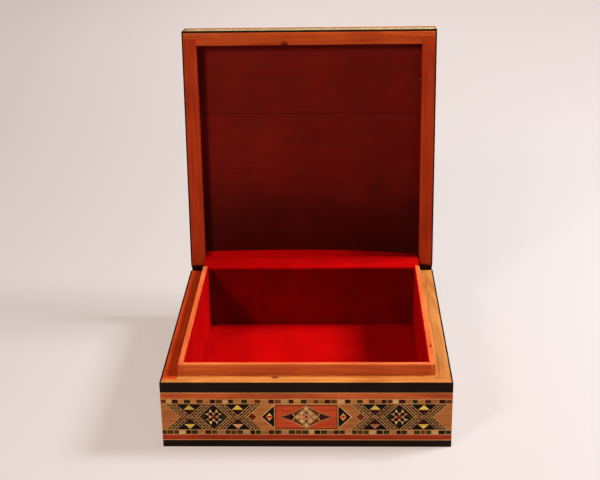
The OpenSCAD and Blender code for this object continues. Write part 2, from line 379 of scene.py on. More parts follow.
def wood_group() -> bpy.types.NodeTree:
    """Build the grain of a board whose fibres run along the vector's X.

    Slow noise stretched along X is passed through a sine, which gives the growth lines of a
    flat-sawn board. Finer stretched noise gives the fibres and short dark pores. A knot is a
    dark spot at a given place, longer along the grain.

    Returns:
        The node group.
    """
    g = Group(
        "WoodGrain",
        {
            "Vector": (VECTOR, None),
            "Dark": (COLOUR, None),
            "Light": (COLOUR, None),
            "Lines": (FLOAT, 0.5),
            "Fibre": (FLOAT, 0.5),
            "Fineness": (FLOAT, 1.0),
            "Knot": (VECTOR, (0.0, 0.0, -1.0)),
            "Knot Size": (FLOAT, 0.003),
        },
        {"Color": COLOUR, "Height": FLOAT, "Gloss": FLOAT},
    )
    scaled = g.node("ShaderNodeVectorMath", operation="SCALE")
    g.put(scaled.inputs[0], g.given["Vector"])
    g.put(scaled.inputs["Scale"], g.given["Fineness"])
    place = scaled.outputs[0]
    slow = g.noise(g.vector("MULTIPLY", place, GROWTH_WAVES), 1.0, 2.0, 0.4)
    lines = g.math("MULTIPLY_ADD", g.math("SINE", g.math("MULTIPLY", slow, RING_TURNS)), 0.5, 0.5)
    fibres = g.noise(g.vector("MULTIPLY", place, FIBRE_WAVES), 1.0, 3.0, 0.2)
    pores = g.noise(g.vector("MULTIPLY", place, PORE_WAVES), 1.0, 1.0)
    broad = g.noise(place, 26.0, 2.0)
    value = g.math("MULTIPLY_ADD", g.math("SUBTRACT", lines, 0.5), g.given["Lines"], 0.5)
    contrast = g.math("MULTIPLY", g.given["Fibre"], 3.0)
    fine = g.math("MULTIPLY", g.math("SUBTRACT", fibres, 0.5), contrast)
    value = g.math("ADD", value, fine)
    value = g.math("ADD", value, g.math("MULTIPLY", g.math("SUBTRACT", broad, 0.5), 0.7), clamp=True)
    colour = g.mix(value, g.given["Dark"], g.given["Light"])
    pore = g.math("MULTIPLY", g.step(pores, 0.6, 0.72), g.math("MULTIPLY", g.given["Fibre"], 0.5))
    colour = g.mix(pore, colour, g.given["Dark"], "MULTIPLY")
    away = g.vector("MULTIPLY", g.vector("SUBTRACT", g.given["Vector"], g.given["Knot"]), (0.55, 1.0, 1.0))
    away = g.math("DIVIDE", g.vector("LENGTH", away), g.given["Knot Size"])
    knot = g.step(g.math("ADD", away, g.math("MULTIPLY", broad, 0.5)), 0.7, 1.35, 0.8, 0.0)
    colour = g.mix(knot, colour, tint(KNOT_TINT))
    g.put(g.out["Color"], colour)
    g.put(g.out["Height"], g.math("SUBTRACT", g.math("MULTIPLY", fibres, 0.6), g.math("MULTIPLY", pore, 0.8)))
    g.put(g.out["Gloss"], g.step(g.noise(place, 60.0, 3.0), 0.3, 0.7, -0.06, 0.08))
    return g.tree


def wear_group() -> bpy.types.NodeTree:
    """Build the mask of handling wear along the closed box's outer edges.

    Each of the three distances to an outside face becomes 1 within a narrow width of it. The
    product of two of them is 1 along an edge, and noise breaks the mask into patches.

    Returns:
        The node group.
    """
    half = tuple(float(size) for size in closed_half())
    g = Group(
        "EdgeWear",
        {
            "Vector": (VECTOR, None),
            "Half Size": (VECTOR, half),
            "Width": (FLOAT, 0.0012),
        },
        {"Mask": FLOAT},
    )
    sizes = g.split(g.given["Half Size"])
    centred = g.vector("SUBTRACT", g.given["Vector"], (0.0, 0.0, half[2]))
    places = g.split(g.vector("ABSOLUTE", centred))
    gaps = [g.math("SUBTRACT", sizes[i], places[i]) for i in range(3)]
    near = [
        g.math("SUBTRACT", 1.0, g.math("DIVIDE", gap, g.given["Width"]), clamp=True) for gap in gaps
    ]
    edges = g.math("MAXIMUM", g.math("MULTIPLY", near[0], near[1]), g.math("MULTIPLY", near[1], near[2]))
    edges = g.math("MAXIMUM", edges, g.math("MULTIPLY", near[0], near[2]))
    patches = g.step(g.noise(g.given["Vector"], 90.0, 4.0), 0.45, 0.62)
    g.put(g.out["Mask"], g.math("MULTIPLY", edges, patches, clamp=True))
    return g.tree


def dust_group() -> bpy.types.NodeTree:
    """Build rare small specks: the cores of a scattered cell pattern, thinned by a noise.

    Returns:
        The node group.
    """
    g = Group(
        "Dust", {"Vector": (VECTOR, None), "Spacing": (FLOAT, 0.02)}, {"Mask": FLOAT, "Haze": FLOAT}
    )
    cells = g.node("ShaderNodeTexVoronoi", feature="F1")
    g.fill(cells, {"Vector": g.given["Vector"], "Scale": g.math("DIVIDE", 1.0, g.given["Spacing"])})
    core = g.step(cells.outputs["Distance"], 0.012, 0.03, 1.0, 0.0)
    some = g.step(g.noise(g.given["Vector"], 31.0, 1.0), 0.55, 0.6)
    g.put(g.out["Mask"], g.math("MULTIPLY", core, some))
    g.put(g.out["Haze"], g.step(g.noise(g.given["Vector"], 45.0, 5.0), 0.35, 0.75))
    return g.tree


def pile_group() -> bpy.types.NodeTree:
    """Build the pile of a brushed cloth.

    Broad noise is the lay of the pile, which turns lighter or darker where it was stroked.
    Fine noise is the tufts, and it also gives the height.

    Returns:
        The node group.
    """
    g = Group(
        "Pile",
        {
            "Vector": (VECTOR, None),
            "Shade": (COLOUR, None),
            "Body": (COLOUR, None),
            "Tuft Scale": (FLOAT, 2600.0),
        },
        {"Color": COLOUR, "Height": FLOAT},
    )
    lay = g.noise(g.vector("MULTIPLY", g.given["Vector"], (1.0, 0.6, 1.0)), 38.0, 3.0, 0.8)
    tuft = g.noise(g.given["Vector"], g.given["Tuft Scale"])
    stray = g.math("MULTIPLY", g.math("SUBTRACT", tuft, 0.5), 0.5)
    amount = g.math("ADD", g.step(lay, 0.3, 0.7, 0.5, 0.8), stray, clamp=True)
    g.put(g.out["Color"], g.mix(amount, g.given["Shade"], g.given["Body"]))
    g.put(g.out["Height"], g.math("ADD", tuft, g.math("MULTIPLY", lay, 0.5)))
    return g.tree


WOOD_GRAIN = wood_group()
EDGE_WEAR = wear_group()
DUST = dust_group()
PILE = pile_group()


class Run(Enum):
    """Which way a board's fibres run, as the turn that brings them to X."""

    ALONG_X = (0.0, 0.0, 0.0)
    ALONG_Y = (0.0, 0.0, math.pi / 2)


SIDE_RUNS = {"front": Run.ALONG_X, "back": Run.ALONG_X, "left": Run.ALONG_Y, "right": Run.ALONG_Y}


class Place(Enum):
    """Where a piece rides, which says how its coordinates come back to the closed box."""

    BOX = "box"
    LID = "lid"
    STRIP = "secret_strip"


def closed_place(t: Tree, place: Place) -> Socket:
    """Read object coordinates as they are on the closed box, so that a cut board's grain runs on.

    Args:
        t: the material's tree.
        place: the body that the piece rides on.

    Returns:
        The vector, in metres.
    """
    coordinates = t.node("ShaderNodeTexCoord").outputs["Object"]
    if place is not Place.LID:
        return coordinates
    back = t.node("ShaderNodeMapping", vector_type="POINT")
    place_back = {"Location": LID_BACK.to_translation(), "Rotation": LID_BACK.to_euler()}
    t.fill(back, {"Vector": coordinates, **place_back})
    return back.outputs[0]


@dataclass(frozen=True)
class Knot:
    """A knot in a board, placed on the closed box, in metres."""

    at: tuple[float, float, float]
    size: float


@dataclass(frozen=True)
class Wood:
    """A solid wood board's finish."""

    name: str
    dark: str
    light: str
    lines: float = 0.5
    fibre: float = 0.5
    fineness: float = 1.0
    roughness: float = 0.46
    specular: float = 0.25
    worn: str = "6b4a30"
    wear: float = 0.0
    specks: float = 0.0
    back_darkening: float = 0.0

    def material(
        self, run: Run = Run.ALONG_X, place: Place = Place.BOX, knot: Knot | None = None
    ) -> Material:
        """Build or fetch the material.

        Args:
            run: which way the fibres run.
            place: the body that the piece rides on.
            knot: a knot to show, on a board that runs along X.

        Returns:
            The material.
        """
        name = f"{self.name}_{run.name.lower()}_{place.name.lower()}{'_knot' if knot else ''}"
        if found := bpy.data.materials.get(name):
            return found
        made, t, shader = new_material(name)
        closed = closed_place(t, place)
        turned = t.node("ShaderNodeMapping", vector_type="POINT")
        t.fill(turned, {"Vector": closed, "Rotation": run.value})
        marks = {"Knot": knot.at, "Knot Size": knot.size} if knot else {}
        grain = t.group(
            WOOD_GRAIN,
            {
                "Vector": turned.outputs[0],
                "Dark": tint(self.dark),
                "Light": tint(self.light),
                "Lines": self.lines,
                "Fibre": self.fibre,
                "Fineness": self.fineness,
                **marks,
            },
        )
        wear = t.group(EDGE_WEAR, {"Vector": closed})
        dust = t.group(DUST, {"Vector": closed})
        colour = t.mix(t.math("MULTIPLY", wear["Mask"], self.wear), grain["Color"], tint(self.worn))
        colour = t.mix(t.math("MULTIPLY", dust["Mask"], self.specks), colour, tint(DUST_TINT))
        # Darker towards the closed box's back, which is the open lid's hinge edge; the haze noise makes the
        # change uneven.
        if self.back_darkening:
            toward_back = t.math("MULTIPLY_ADD", dust["Haze"], 0.02, t.split(closed)[1])
            colour = t.mix(t.step(toward_back, 0.012, 0.07, 0.0, self.back_darkening), colour, tint(BACK_DARK_TINT))
        rough = t.math("ADD", grain["Gloss"], self.roughness)
        rough = t.math("ADD", rough, t.math("MULTIPLY", dust["Haze"], 0.05))
        t.fill(
            shader,
            {
                "Base Color": colour,
                "Roughness": rough,
                "Specular IOR Level": self.specular,
            },
        )
        bump(t, shader, grain["Height"], 0.00006)
        return made


@dataclass(frozen=True)
class Inlay:
    """One species of small marquetry piece, with its grain in the piece's own map."""

    name: str
    dark: str
    light: str
    fibre: float = 0.35
    roughness: float = 0.42

    def material(self) -> Material:
        """Build or fetch the material.

        Returns:
            The material.
        """
        if found := bpy.data.materials.get(f"inlay_{self.name}"):
            return found
        made, t, shader = new_material(f"inlay_{self.name}")
        grain = t.group(
            WOOD_GRAIN,
            {
                "Vector": t.node("ShaderNodeUVMap", uv_map="grain").outputs[0],
                "Dark": tint(self.dark),
                "Light": tint(self.light),
                "Lines": 0.35,
                "Fibre": self.fibre,
                "Fineness": 1.6,
            },
        )
        tone = t.node("ShaderNodeAttribute", attribute_name="tone").outputs["Fac"]
        shade = t.grey(t.math("MULTIPLY_ADD", tone, 0.22, 1.0))
        t.fill(
            shader,
            {
                "Base Color": t.mix(1.0, grain["Color"], shade, "MULTIPLY"),
                "Roughness": t.math("ADD", grain["Gloss"], self.roughness),
                "Specular IOR Level": 0.25,
            },
        )
        bump(t, shader, grain["Height"], 0.00003)
        return made


@dataclass(frozen=True)
class Cloth:
    """A cloth with a pile."""

    name: str
    shade: str
    body: str
    sheen: float = 0.5
    sheen_tint: str = "ff5040"
    tuft_scale: float = 2600.0
    depth: float = 0.00012

    def material(self, place: Place = Place.BOX) -> Material:
        """Build or fetch the material.

        Args:
            place: the body that the piece rides on.

        Returns:
            The material.
        """
        name = f"{self.name}_{place.name.lower()}"
        if found := bpy.data.materials.get(name):
            return found
        made, t, shader = new_material(name)
        pile = t.group(
            PILE,
            {
                "Vector": closed_place(t, place),
                "Shade": tint(self.shade),
                "Body": tint(self.body),
                "Tuft Scale": self.tuft_scale,
            },
        )
        t.fill(
            shader,
            {
                "Base Color": pile["Color"],
                "Roughness": 0.9,
                "Specular IOR Level": 0.12,
                "Sheen Weight": self.sheen,
                "Sheen Roughness": 0.4,
                "Sheen Tint": tint(self.sheen_tint),
            },
        )
        bump(t, shader, pile["Height"], self.depth)
        return made


@dataclass(frozen=True)
class Metal:
    """A metal that has dulled with age. The hinge's near-black copy also carries painted shade."""

    name: str
    bright: str
    dull: str
    roughness: float = 0.34

    def material(self) -> Material:
        """Build or fetch the material.

        Returns:
            The material.
        """
        if found := bpy.data.materials.get(self.name):
            return found
        made, t, shader = new_material(self.name)
        own = t.node("ShaderNodeTexCoord").outputs["Object"]
        patches = t.step(t.noise(own, 260.0, 5.0, 0.5), 0.35, 0.7)
        scratches = t.noise(t.vector("MULTIPLY", own, (60.0, 2400.0, 2400.0)), 1.0, 2.0)
        rough = t.math("MULTIPLY_ADD", patches, 0.2, self.roughness)
        t.fill(
            shader,
            {
                "Base Color": t.mix(patches, tint(self.bright), tint(self.dull)),
                "Roughness": t.math("MULTIPLY_ADD", scratches, 0.1, rough),
                "Metallic": 1.0,
            },
        )
        bump(t, shader, scratches, 0.00002)
        return made


def new_material(name: str) -> tuple[Material, Tree, bpy.types.Node]:
    """Make an empty node material.

    Args:
        name: the material's name.

    Returns:
        The material, a helper for its tree, and its Principled shader.
    """
    made = bpy.data.materials.new(name)
    made.use_nodes = True
    made.node_tree.nodes.clear()
    t = Tree(made.node_tree)
    shader = t.node("ShaderNodeBsdfPrincipled")
    t.put(t.node("ShaderNodeOutputMaterial").inputs["Surface"], shader.outputs[0])
    return made, t, shader


def bump(t: Tree, shader: bpy.types.Node, height: Socket, depth: float) -> None:
    """Feed a height through a Bump node to the shader's normal.

    Args:
        t: the material's tree.
        shader: its shader.
        height: the height, 0 to 1.
        depth: what a height of 1 stands for, in metres.
    """
    made = t.node("ShaderNodeBump")
    t.fill(made, {"Distance": depth, "Strength": 1.0, "Height": height})
    t.put(shader.inputs["Normal"], made.outputs[0])


# --------------------------------------------------------------------------- finishes

BODY_KNOT = Knot((-0.0192, -0.0827, 0.045), 0.0015)
LID_KNOT = Knot((-0.0172, -0.0808, 0.045), 0.0018)
RIM_WOOD = Wood("rim_wood", "a05c26", "dc9c5a", lines=0.22, fibre=0.25)
# The left rim's redder, darker wood is partly painted shade: it is matched to the rim as it looks in its
# lip's shadow.
LEFT_RIM_SHADE_WOOD = Wood("left_rim_wood", "b23c12", "de682e", lines=0.16, fibre=0.2)
RIGHT_RIM_WOOD = Wood("right_rim_wood", "96582a", "cc9458", lines=0.3, fibre=0.25, fineness=0.7)
RAIL_WOOD = Wood("rail_wood", "922c0c", "cc5c2a", lines=0.16, fibre=0.22)
FRONT_RAIL_WOOD = Wood("front_rail_wood", "9c3a10", "da7434", lines=0.16, fibre=0.22)
LIP_WOOD = Wood("lip_wood", "b4522a", "e48c54", lines=0.16, fibre=0.22)
EBONY = Wood("ebony_band", "1c110a", "38251a", lines=0.3, fibre=0.25, roughness=0.5, wear=0.3)
UPPER_RED = Wood("upper_red_band", "a8502a", "d87a44", lines=0.4, fibre=0.35, wear=0.2)
LOWER_RED = Wood("lower_red_band", "963820", "bc5430", lines=0.4, fibre=0.35, wear=0.2)
LIGHT_LINE = Wood("light_line", "b07c48", "deb078", lines=0.2, fibre=0.3)
# The panel turns darker towards its hinge edge.
PANEL_WOOD = Wood(
    "panel_wood", "661208", "8e2410", lines=0.1, fibre=0.12, roughness=0.55, specks=0.8, back_darkening=0.55
)
BOTTOM_WOOD = Wood("bottom_wood", "8c6238", "c79a63", lines=0.5, fibre=0.6, roughness=0.6)
VELVET = Cloth("red_velvet", "8c0002", "c40204", sheen=0.1, sheen_tint="ff1408")
# A brighter copy of the velvet, with more sheen, for the right wall: painted light.
VELVET_LIT = Cloth("red_velvet_up", "a40404", "e60c0c", sheen=0.2, sheen_tint="ff1c10")
# A darker copy of the velvet for the back wall, which faces away from the key: painted shade.
VELVET_SHADED = Cloth("red_velvet_down", "640001", "940203", sheen=0.06, sheen_tint="ff1408")
FELT = Cloth("green_felt", "0d2415", "1c4428", sheen=0.3, sheen_tint="80a080", tuft_scale=1500.0)
BRASS = Metal("aged_brass", "b08440", "5a3c1a")
# The hinge's brass is near black: dark patina, made darker still as painted shade for the gap it sits in.
HINGE_BRASS = Metal("dark_brass", "4c3414", "140c06")
STEEL = Metal("hinge_steel", "6c6860", "2c2824")


class Species(Enum):
    """The woods, bone and shell that the marquetry is laid from."""

    EBONY = Inlay("ebony", "0c0705", "2a1a12", 0.3)
    MAROON = Inlay("maroon", "2c0608", "5c1a14", 0.3)
    BROWN = Inlay("brown", "54280f", "8a5028", 0.35)
    WALNUT = Inlay("walnut", "b87440", "d8985c", 0.3)
    TAN = Inlay("tan", "a26c38", "cf9c62", 0.4)
    CREAM = Inlay("cream", "b4925e", "dec492", 0.25)
    YELLOW = Inlay("yellow", "c4a040", "ecd474", 0.2)
    PINK = Inlay("pink", "a8724e", "d09c74", 0.25)
    ORANGE = Inlay("orange", "c44a24", "f27a46", 0.35)
    OLIVE = Inlay("olive", "2e2a0e", "5c5420", 0.35)
    SAGE = Inlay("sage", "8c9470", "c8cca4", 0.25)
    RED = Inlay("red", "7c1208", "b0301a", 0.3)
    LINE = Inlay("line", "aa7a48", "d8aa72", 0.3)
    PALE = Inlay("pale", "b08c5c", "e0c08c", 0.25)


SPECIES = list(Species)


# --------------------------------------------------------------------------- mesh tools

# Smooth shading stops at edges sharper than the first angle, and rounding starts at the second.
SHARP_ANGLE, ROUNDED_ANGLE = math.radians(50), math.radians(25)
# Points this close are one point, in metres, and faces this close to level are one face.
SAME_POINT, SAME_FACE = 1e-6, math.radians(0.5)
# Widths of the rounding that sanding leaves, in millimetres.
BOARD_ROUND, PANEL_ROUND, METAL_ROUND, BASE_ROUND = 0.25, 0.35, 0.15, 0.1
BLACK_ROUND, RED_ROUND, LINE_ROUND = 0.12, 0.08, 0.05
# How far a coat of lacquer holds the closed lid off the rim, in millimetres.
LID_REST = 0.06


def placed(name: str, data: bpy.types.ID) -> Piece:
    """Make an object from its data and add it to the scene."""
    made = bpy.data.objects.new(name, data)
    bpy.context.scene.collection.objects.link(made)
    return made


def mesh_object(name: str, points: Array, faces: list, materials: list) -> Piece:
    """Make an object at the origin from points and faces.

    Args:
        name: the piece's name.
        points: n x 3, in metres.
        faces: lists of point numbers.
        materials: its materials.

    Returns:
        The object.
    """
    mesh = bpy.data.meshes.new(name)
    mesh.from_pydata(points.tolist(), [], faces)
    mesh.validate()
    for made in materials:
        mesh.materials.append(made)
    return placed(name, mesh)


def grid_faces(rows: int, columns: int, flip: bool = False) -> Array:
    """Number the quads of a grid of rows x columns points.

    Args:
        rows: points along the first direction.
        columns: points along the second direction.
        flip: turn the faces round.

    Returns:
        Quads, n x 4.
    """
    number = np.arange(rows * columns).reshape(rows, columns)
    quads = np.stack([number[:-1, :-1], number[1:, :-1], number[1:, 1:], number[:-1, 1:]], axis=-1)
    quads = quads.reshape(-1, 4)
    return quads[:, ::-1] if flip else quads


def shell_from_grid(name: str, outer: Array, inner: Array, finish: Material) -> Piece:
    """Close two grids of the same size into a thin solid, with walls round the rim.

    Args:
        name: the piece's name.
        outer: rows x columns x 3 points that are seen, in metres.
        inner: the same grid on the hidden side.
        finish: its material.

    Returns:
        The object, with normals outwards and smooth shading.
    """
    rows, columns = outer.shape[:2]
    count = rows * columns
    number = np.arange(count).reshape(rows, columns)
    rim = np.concatenate([number[0, :-1], number[:-1, -1], number[-1, :0:-1], number[:0:-1, 0]])
    following = np.roll(rim, -1)
    walls = np.stack([rim, rim + count, following + count, following], axis=-1)
    faces = np.concatenate([grid_faces(rows, columns), grid_faces(rows, columns, True) + count, walls])
    points = np.concatenate([outer.reshape(-1, 3), inner.reshape(-1, 3)])
    piece = mesh_object(name, points, faces.tolist(), [finish])
    outward_normals(piece)
    piece.data.shade_smooth()
    piece.data.set_sharp_from_angle(angle=SHARP_ANGLE)
    return piece


def outward_normals(piece: Piece) -> None:
    """Recalculate a closed piece's normals so that they point outwards.

    Args:
        piece: the piece.
    """
    work = bmesh.new()
    work.from_mesh(piece.data)
    bmesh.ops.recalc_face_normals(work, faces=work.faces)
    work.to_mesh(piece.data)
    work.free()


def lifted(points: Array) -> Array:
    """Lift the lid's lowest faces a hair off the rim.

    Args:
        points: n x 3 points of a lid piece, in metres.

    Returns:
        The points, with those in the plane of the rim raised by LID_REST along the closed lid's Z.
    """
    closed = moved(points, LID_BACK)
    rim = closed_box("lid_front_rail")[0][2] * MM
    closed[np.abs(closed[:, 2] - rim) < 10 * SAME_POINT, 2] += LID_REST * MM
    return moved(closed, LID)


def soften(
    node: str, finish: Material, width: float = 0.2, segments: int = 2
) -> Piece:
    """Copy a node's solid and round its sharp edges as sanding and lacquer do.

    Args:
        node: the node that the copy stands for.
        finish: its material.
        width: the rounding's width, in millimetres.
        segments: facets across the rounding.

    Returns:
        The new piece, which replaces the node and rides on the same body.
    """
    source = frame["nodes"][node]
    work = bmesh.new()
    work.from_mesh(source.data)
    bmesh.ops.remove_doubles(work, verts=work.verts, dist=SAME_POINT)
    bmesh.ops.dissolve_limit(work, angle_limit=SAME_FACE, verts=work.verts, edges=work.edges)
    mesh = bpy.data.meshes.new(f"{node}_soft")
    work.to_mesh(mesh)
    work.free()
    if source["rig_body"] == "lid":
        mesh.vertices.foreach_set("co", lifted(vertices(mesh)).ravel())
    finish_mesh(mesh, finish)
    piece = placed(f"{node}_soft", mesh)
    rounding = piece.modifiers.new("rounding", "BEVEL")
    rounding.width = width * MM
    rounding.segments = segments
    rounding.limit_method = "ANGLE"
    rounding.angle_limit = ROUNDED_ANGLE
    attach(piece, source["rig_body"])
    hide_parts(node)
    LOG.info("%s softened by %.2f mm", node, width)
    return piece


def finish_mesh(mesh: bpy.types.Mesh, finish: Material) -> None:
    """Make a finish the only material of a mesh."""
    mesh.materials.clear()
    mesh.materials.append(finish)


def dress(node: str, finish: Material) -> None:
    """Give a carried-over node its finish."""
    finish_mesh(frame["nodes"][node].data, finish)
    LOG.info("%s dressed", node)


# --------------------------------------------------------------------------- marquetry


@dataclass(frozen=True)
class Plane:
    """A flat outside face that marquetry is laid on."""

    origin: tuple[float, float, float]
    along: tuple[float, float, float]
    up: tuple[float, float, float]
    out: tuple[float, float, float]
    on_lid: bool = False

    def lift(self, flat: Array, depth: Array) -> Array:
        """Carry flat points to their place.

        Args:
            flat: n x 2 places on the face, in millimetres.
            depth: how far each stands out of the face, in millimetres.

        Returns:
            n x 3 points at rest, in metres.
        """
        points = (
            np.array(self.origin)
            + flat[:, :1] * np.array(self.along)
            + flat[:, 1:] * np.array(self.up)
            + depth[:, None] * np.array(self.out)
        ) * MM
        return moved(points, LID) if self.on_lid else points


# Heights out of the face, in millimetres: a layer, the first layer's top, and every piece's foot.
LAYER, BED, ROOT = 0.012, -0.1, -0.7
# The glue line round a piece, in millimetres, how much longer it is at a corner, and the largest
# share of the way to its middle that a corner is drawn in.
JOINT_LINE, CORNER_STRETCH, MOST_DRAWN_IN = 0.035, 1.4, 0.12


@dataclass
class Marquetry:
    """Flat convex pieces collected by plane, species and layer, then built as one mesh."""

    name: str
    batches: list = field(default_factory=list)

    def lay(
        self, plane: Plane, species: Species, pieces: Array, layer: int = 0, grain: float = 0.0
    ) -> None:
        """Add pieces.

        Args:
            plane: the face they lie on.
            species: what they are cut from.
            pieces: n x k x 2 corners, in millimetres on the face.
            layer: later layers cover earlier ones by a hair.
            grain: the fibres' angle on the face, in radians.
        """
        pieces = np.asarray(pieces, float)
        if pieces.ndim == 2:
            pieces = pieces[None]
        self.batches.append((plane, species, pieces, layer, grain))

    def build(self, node: str, slot: str) -> Piece:
        """Build every piece as a small prism, with a hairline of glue round it.

        Each outline is drawn in towards its middle by a fixed width, then extruded from the
        bed to its layer's height. Its grain map is its place on the face turned by the grain
        angle and shifted at random, and its tone is a random value, both per piece.

        Args:
            node: the node that the mesh stands for.
            slot: the record's material slot; not used.

        Returns:
            The object.
        """
        points, faces, maps, tones, kinds = [], [], [], [], []
        start = 0
        for plane, species, pieces, layer, grain in self.batches:
            count, corners = pieces.shape[:2]
            pieces = anticlockwise(pieces)
            middle = pieces.mean(axis=1, keepdims=True)
            reach = np.linalg.norm(pieces - middle, axis=2, keepdims=True)
            narrow = np.minimum(JOINT_LINE / np.maximum(reach, 1e-6) * CORNER_STRETCH, MOST_DRAWN_IN)
            inset = pieces + (middle - pieces) * narrow
            top = np.full(count * corners, BED + LAYER * layer)
            flat = inset.reshape(-1, 2)
            points.append(plane.lift(flat, top))
            points.append(plane.lift(flat, np.full_like(top, ROOT)))
            number = start + np.arange(count * corners).reshape(count, corners)
            low = number + count * corners
            after = np.roll(number, -1, axis=1)
            walls = np.stack([number, low, np.roll(low, -1, axis=1), after], axis=-1).reshape(-1, 4)
            faces += number.tolist() + low[:, ::-1].tolist() + walls.tolist()
            c, s = math.cos(grain), math.sin(grain)
            turned = (pieces @ np.array([[c, -s], [s, c]])) * MM + RNG.uniform(-1, 1, (count, 1, 2))
            beside = np.roll(turned, -1, 1)
            walls_map = np.stack([turned, turned, beside, beside], axis=2)
            maps += [turned.reshape(-1, 2), turned[:, ::-1].reshape(-1, 2), walls_map.reshape(-1, 2)]
            tone = RNG.uniform(-1, 1, count)
            tones += [tone, tone, np.repeat(tone, corners)]
            kinds.append(np.full(count * (corners + 2), SPECIES.index(species)))
            start += 2 * count * corners
        used, kind = np.unique(np.concatenate(kinds), return_inverse=True)
        piece = mesh_object(
            self.name, np.concatenate(points), faces, [SPECIES[i].value.material() for i in used]
        )
        mesh = piece.data
        mesh.polygons.foreach_set("material_index", kind.astype(np.int32))
        mesh.uv_layers.new(name="grain").data.foreach_set("uv", np.concatenate(maps).ravel())
        mesh.attributes.new("tone", "FLOAT", "FACE").data.foreach_set(
            "value", np.concatenate(tones).astype(np.float32)
        )
        mesh.update()
        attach(piece, frame["nodes"][node]["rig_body"])
        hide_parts(node)
        LOG.info("%s laid from %d faces", self.name, len(faces))
        return piece


def anticlockwise(pieces: Array) -> Array:
    """Turn round each outline whose corners run clockwise, told by the sign of its area.

    Args:
        pieces: n x k x 2 corners.

    Returns:
        The outlines, all anticlockwise.
    """
    following = np.roll(pieces, -1, axis=1)
    area = (pieces[..., 0] * following[..., 1] - pieces[..., 1] * following[..., 0]).sum(axis=1)
    return np.where((area < 0)[:, None, None], pieces[:, ::-1], pieces)


def outlines(*corners: tuple[Array, Array]) -> Array:
    """Stack corners, each given as n places along and n across, into n outlines."""
    return np.stack([np.stack(corner, axis=1) for corner in corners], axis=1)


def rectangle(u0: float, u1: float, v0: float, v1: float) -> Array:
    """Return the four corners of a rectangle."""
    return np.array([[u0, v0], [u1, v0], [u1, v1], [u0, v1]])


def diamond(u: float, v: float, half_u: float, half_v: float | None = None) -> Array:
    """Return the corners of a square or rhombus on its point."""
    tall = half_u if half_v is None else half_v
    return np.array([[u + half_u, v], [u, v + tall], [u - half_u, v], [u, v - tall]])


def quarter_turns(shape: Array, centre: tuple[float, float]) -> Array:
    """Repeat a shape at the four quarter turns about a centre.

    Args:
        shape: k x 2 corners about the origin.
        centre: where the turns are centred.

    Returns:
        4 x k x 2 corners.
    """
    turns = np.array([[[1, 0], [0, 1]], [[0, -1], [1, 0]], [[-1, 0], [0, -1]], [[0, 1], [-1, 0]]])
    return np.einsum("tij,kj->tki", turns, shape) + np.array(centre)


def mirrored(pieces: Array, about: float) -> Array:
    """Add the mirror image of pieces about an upright line.

    Args:
        pieces: k x 2 or n x k x 2 corners.
        about: where the line stands.

    Returns:
        2n x k x 2 corners.
    """
    pieces = pieces[None] if pieces.ndim == 2 else pieces
    other = pieces * np.array([-1, 1]) + np.array([2 * about, 0])
    return np.concatenate([pieces, other])


def chevron(tips: Array, mid: float, heights: Array, pointing: int) -> Array:
    """Cut a bent strip into pieces along its length.

    The strip's edges are u = tip - pointing * |v - mid|, so it is a ">" for 1 and a "<" for
    -1, and each piece lies between two heights, above and below the middle.

    Args:
        tips: the two edges' places at mid height.
        mid: the strip's mid height.
        heights: pairs of heights above the middle, n x 2.
        pointing: 1 or -1.

    Returns:
        2n x 4 x 2 corners.
    """
    low, high = heights[:, 0], heights[:, 1]
    left, right = tips
    bent = outlines(
        (left - pointing * low, low),
        (right - pointing * low, low),
        (right - pointing * high, high),
        (left - pointing * high, high),
    )
    return np.concatenate([bent + [0, mid], bent * [1, -1] + [0, mid]])


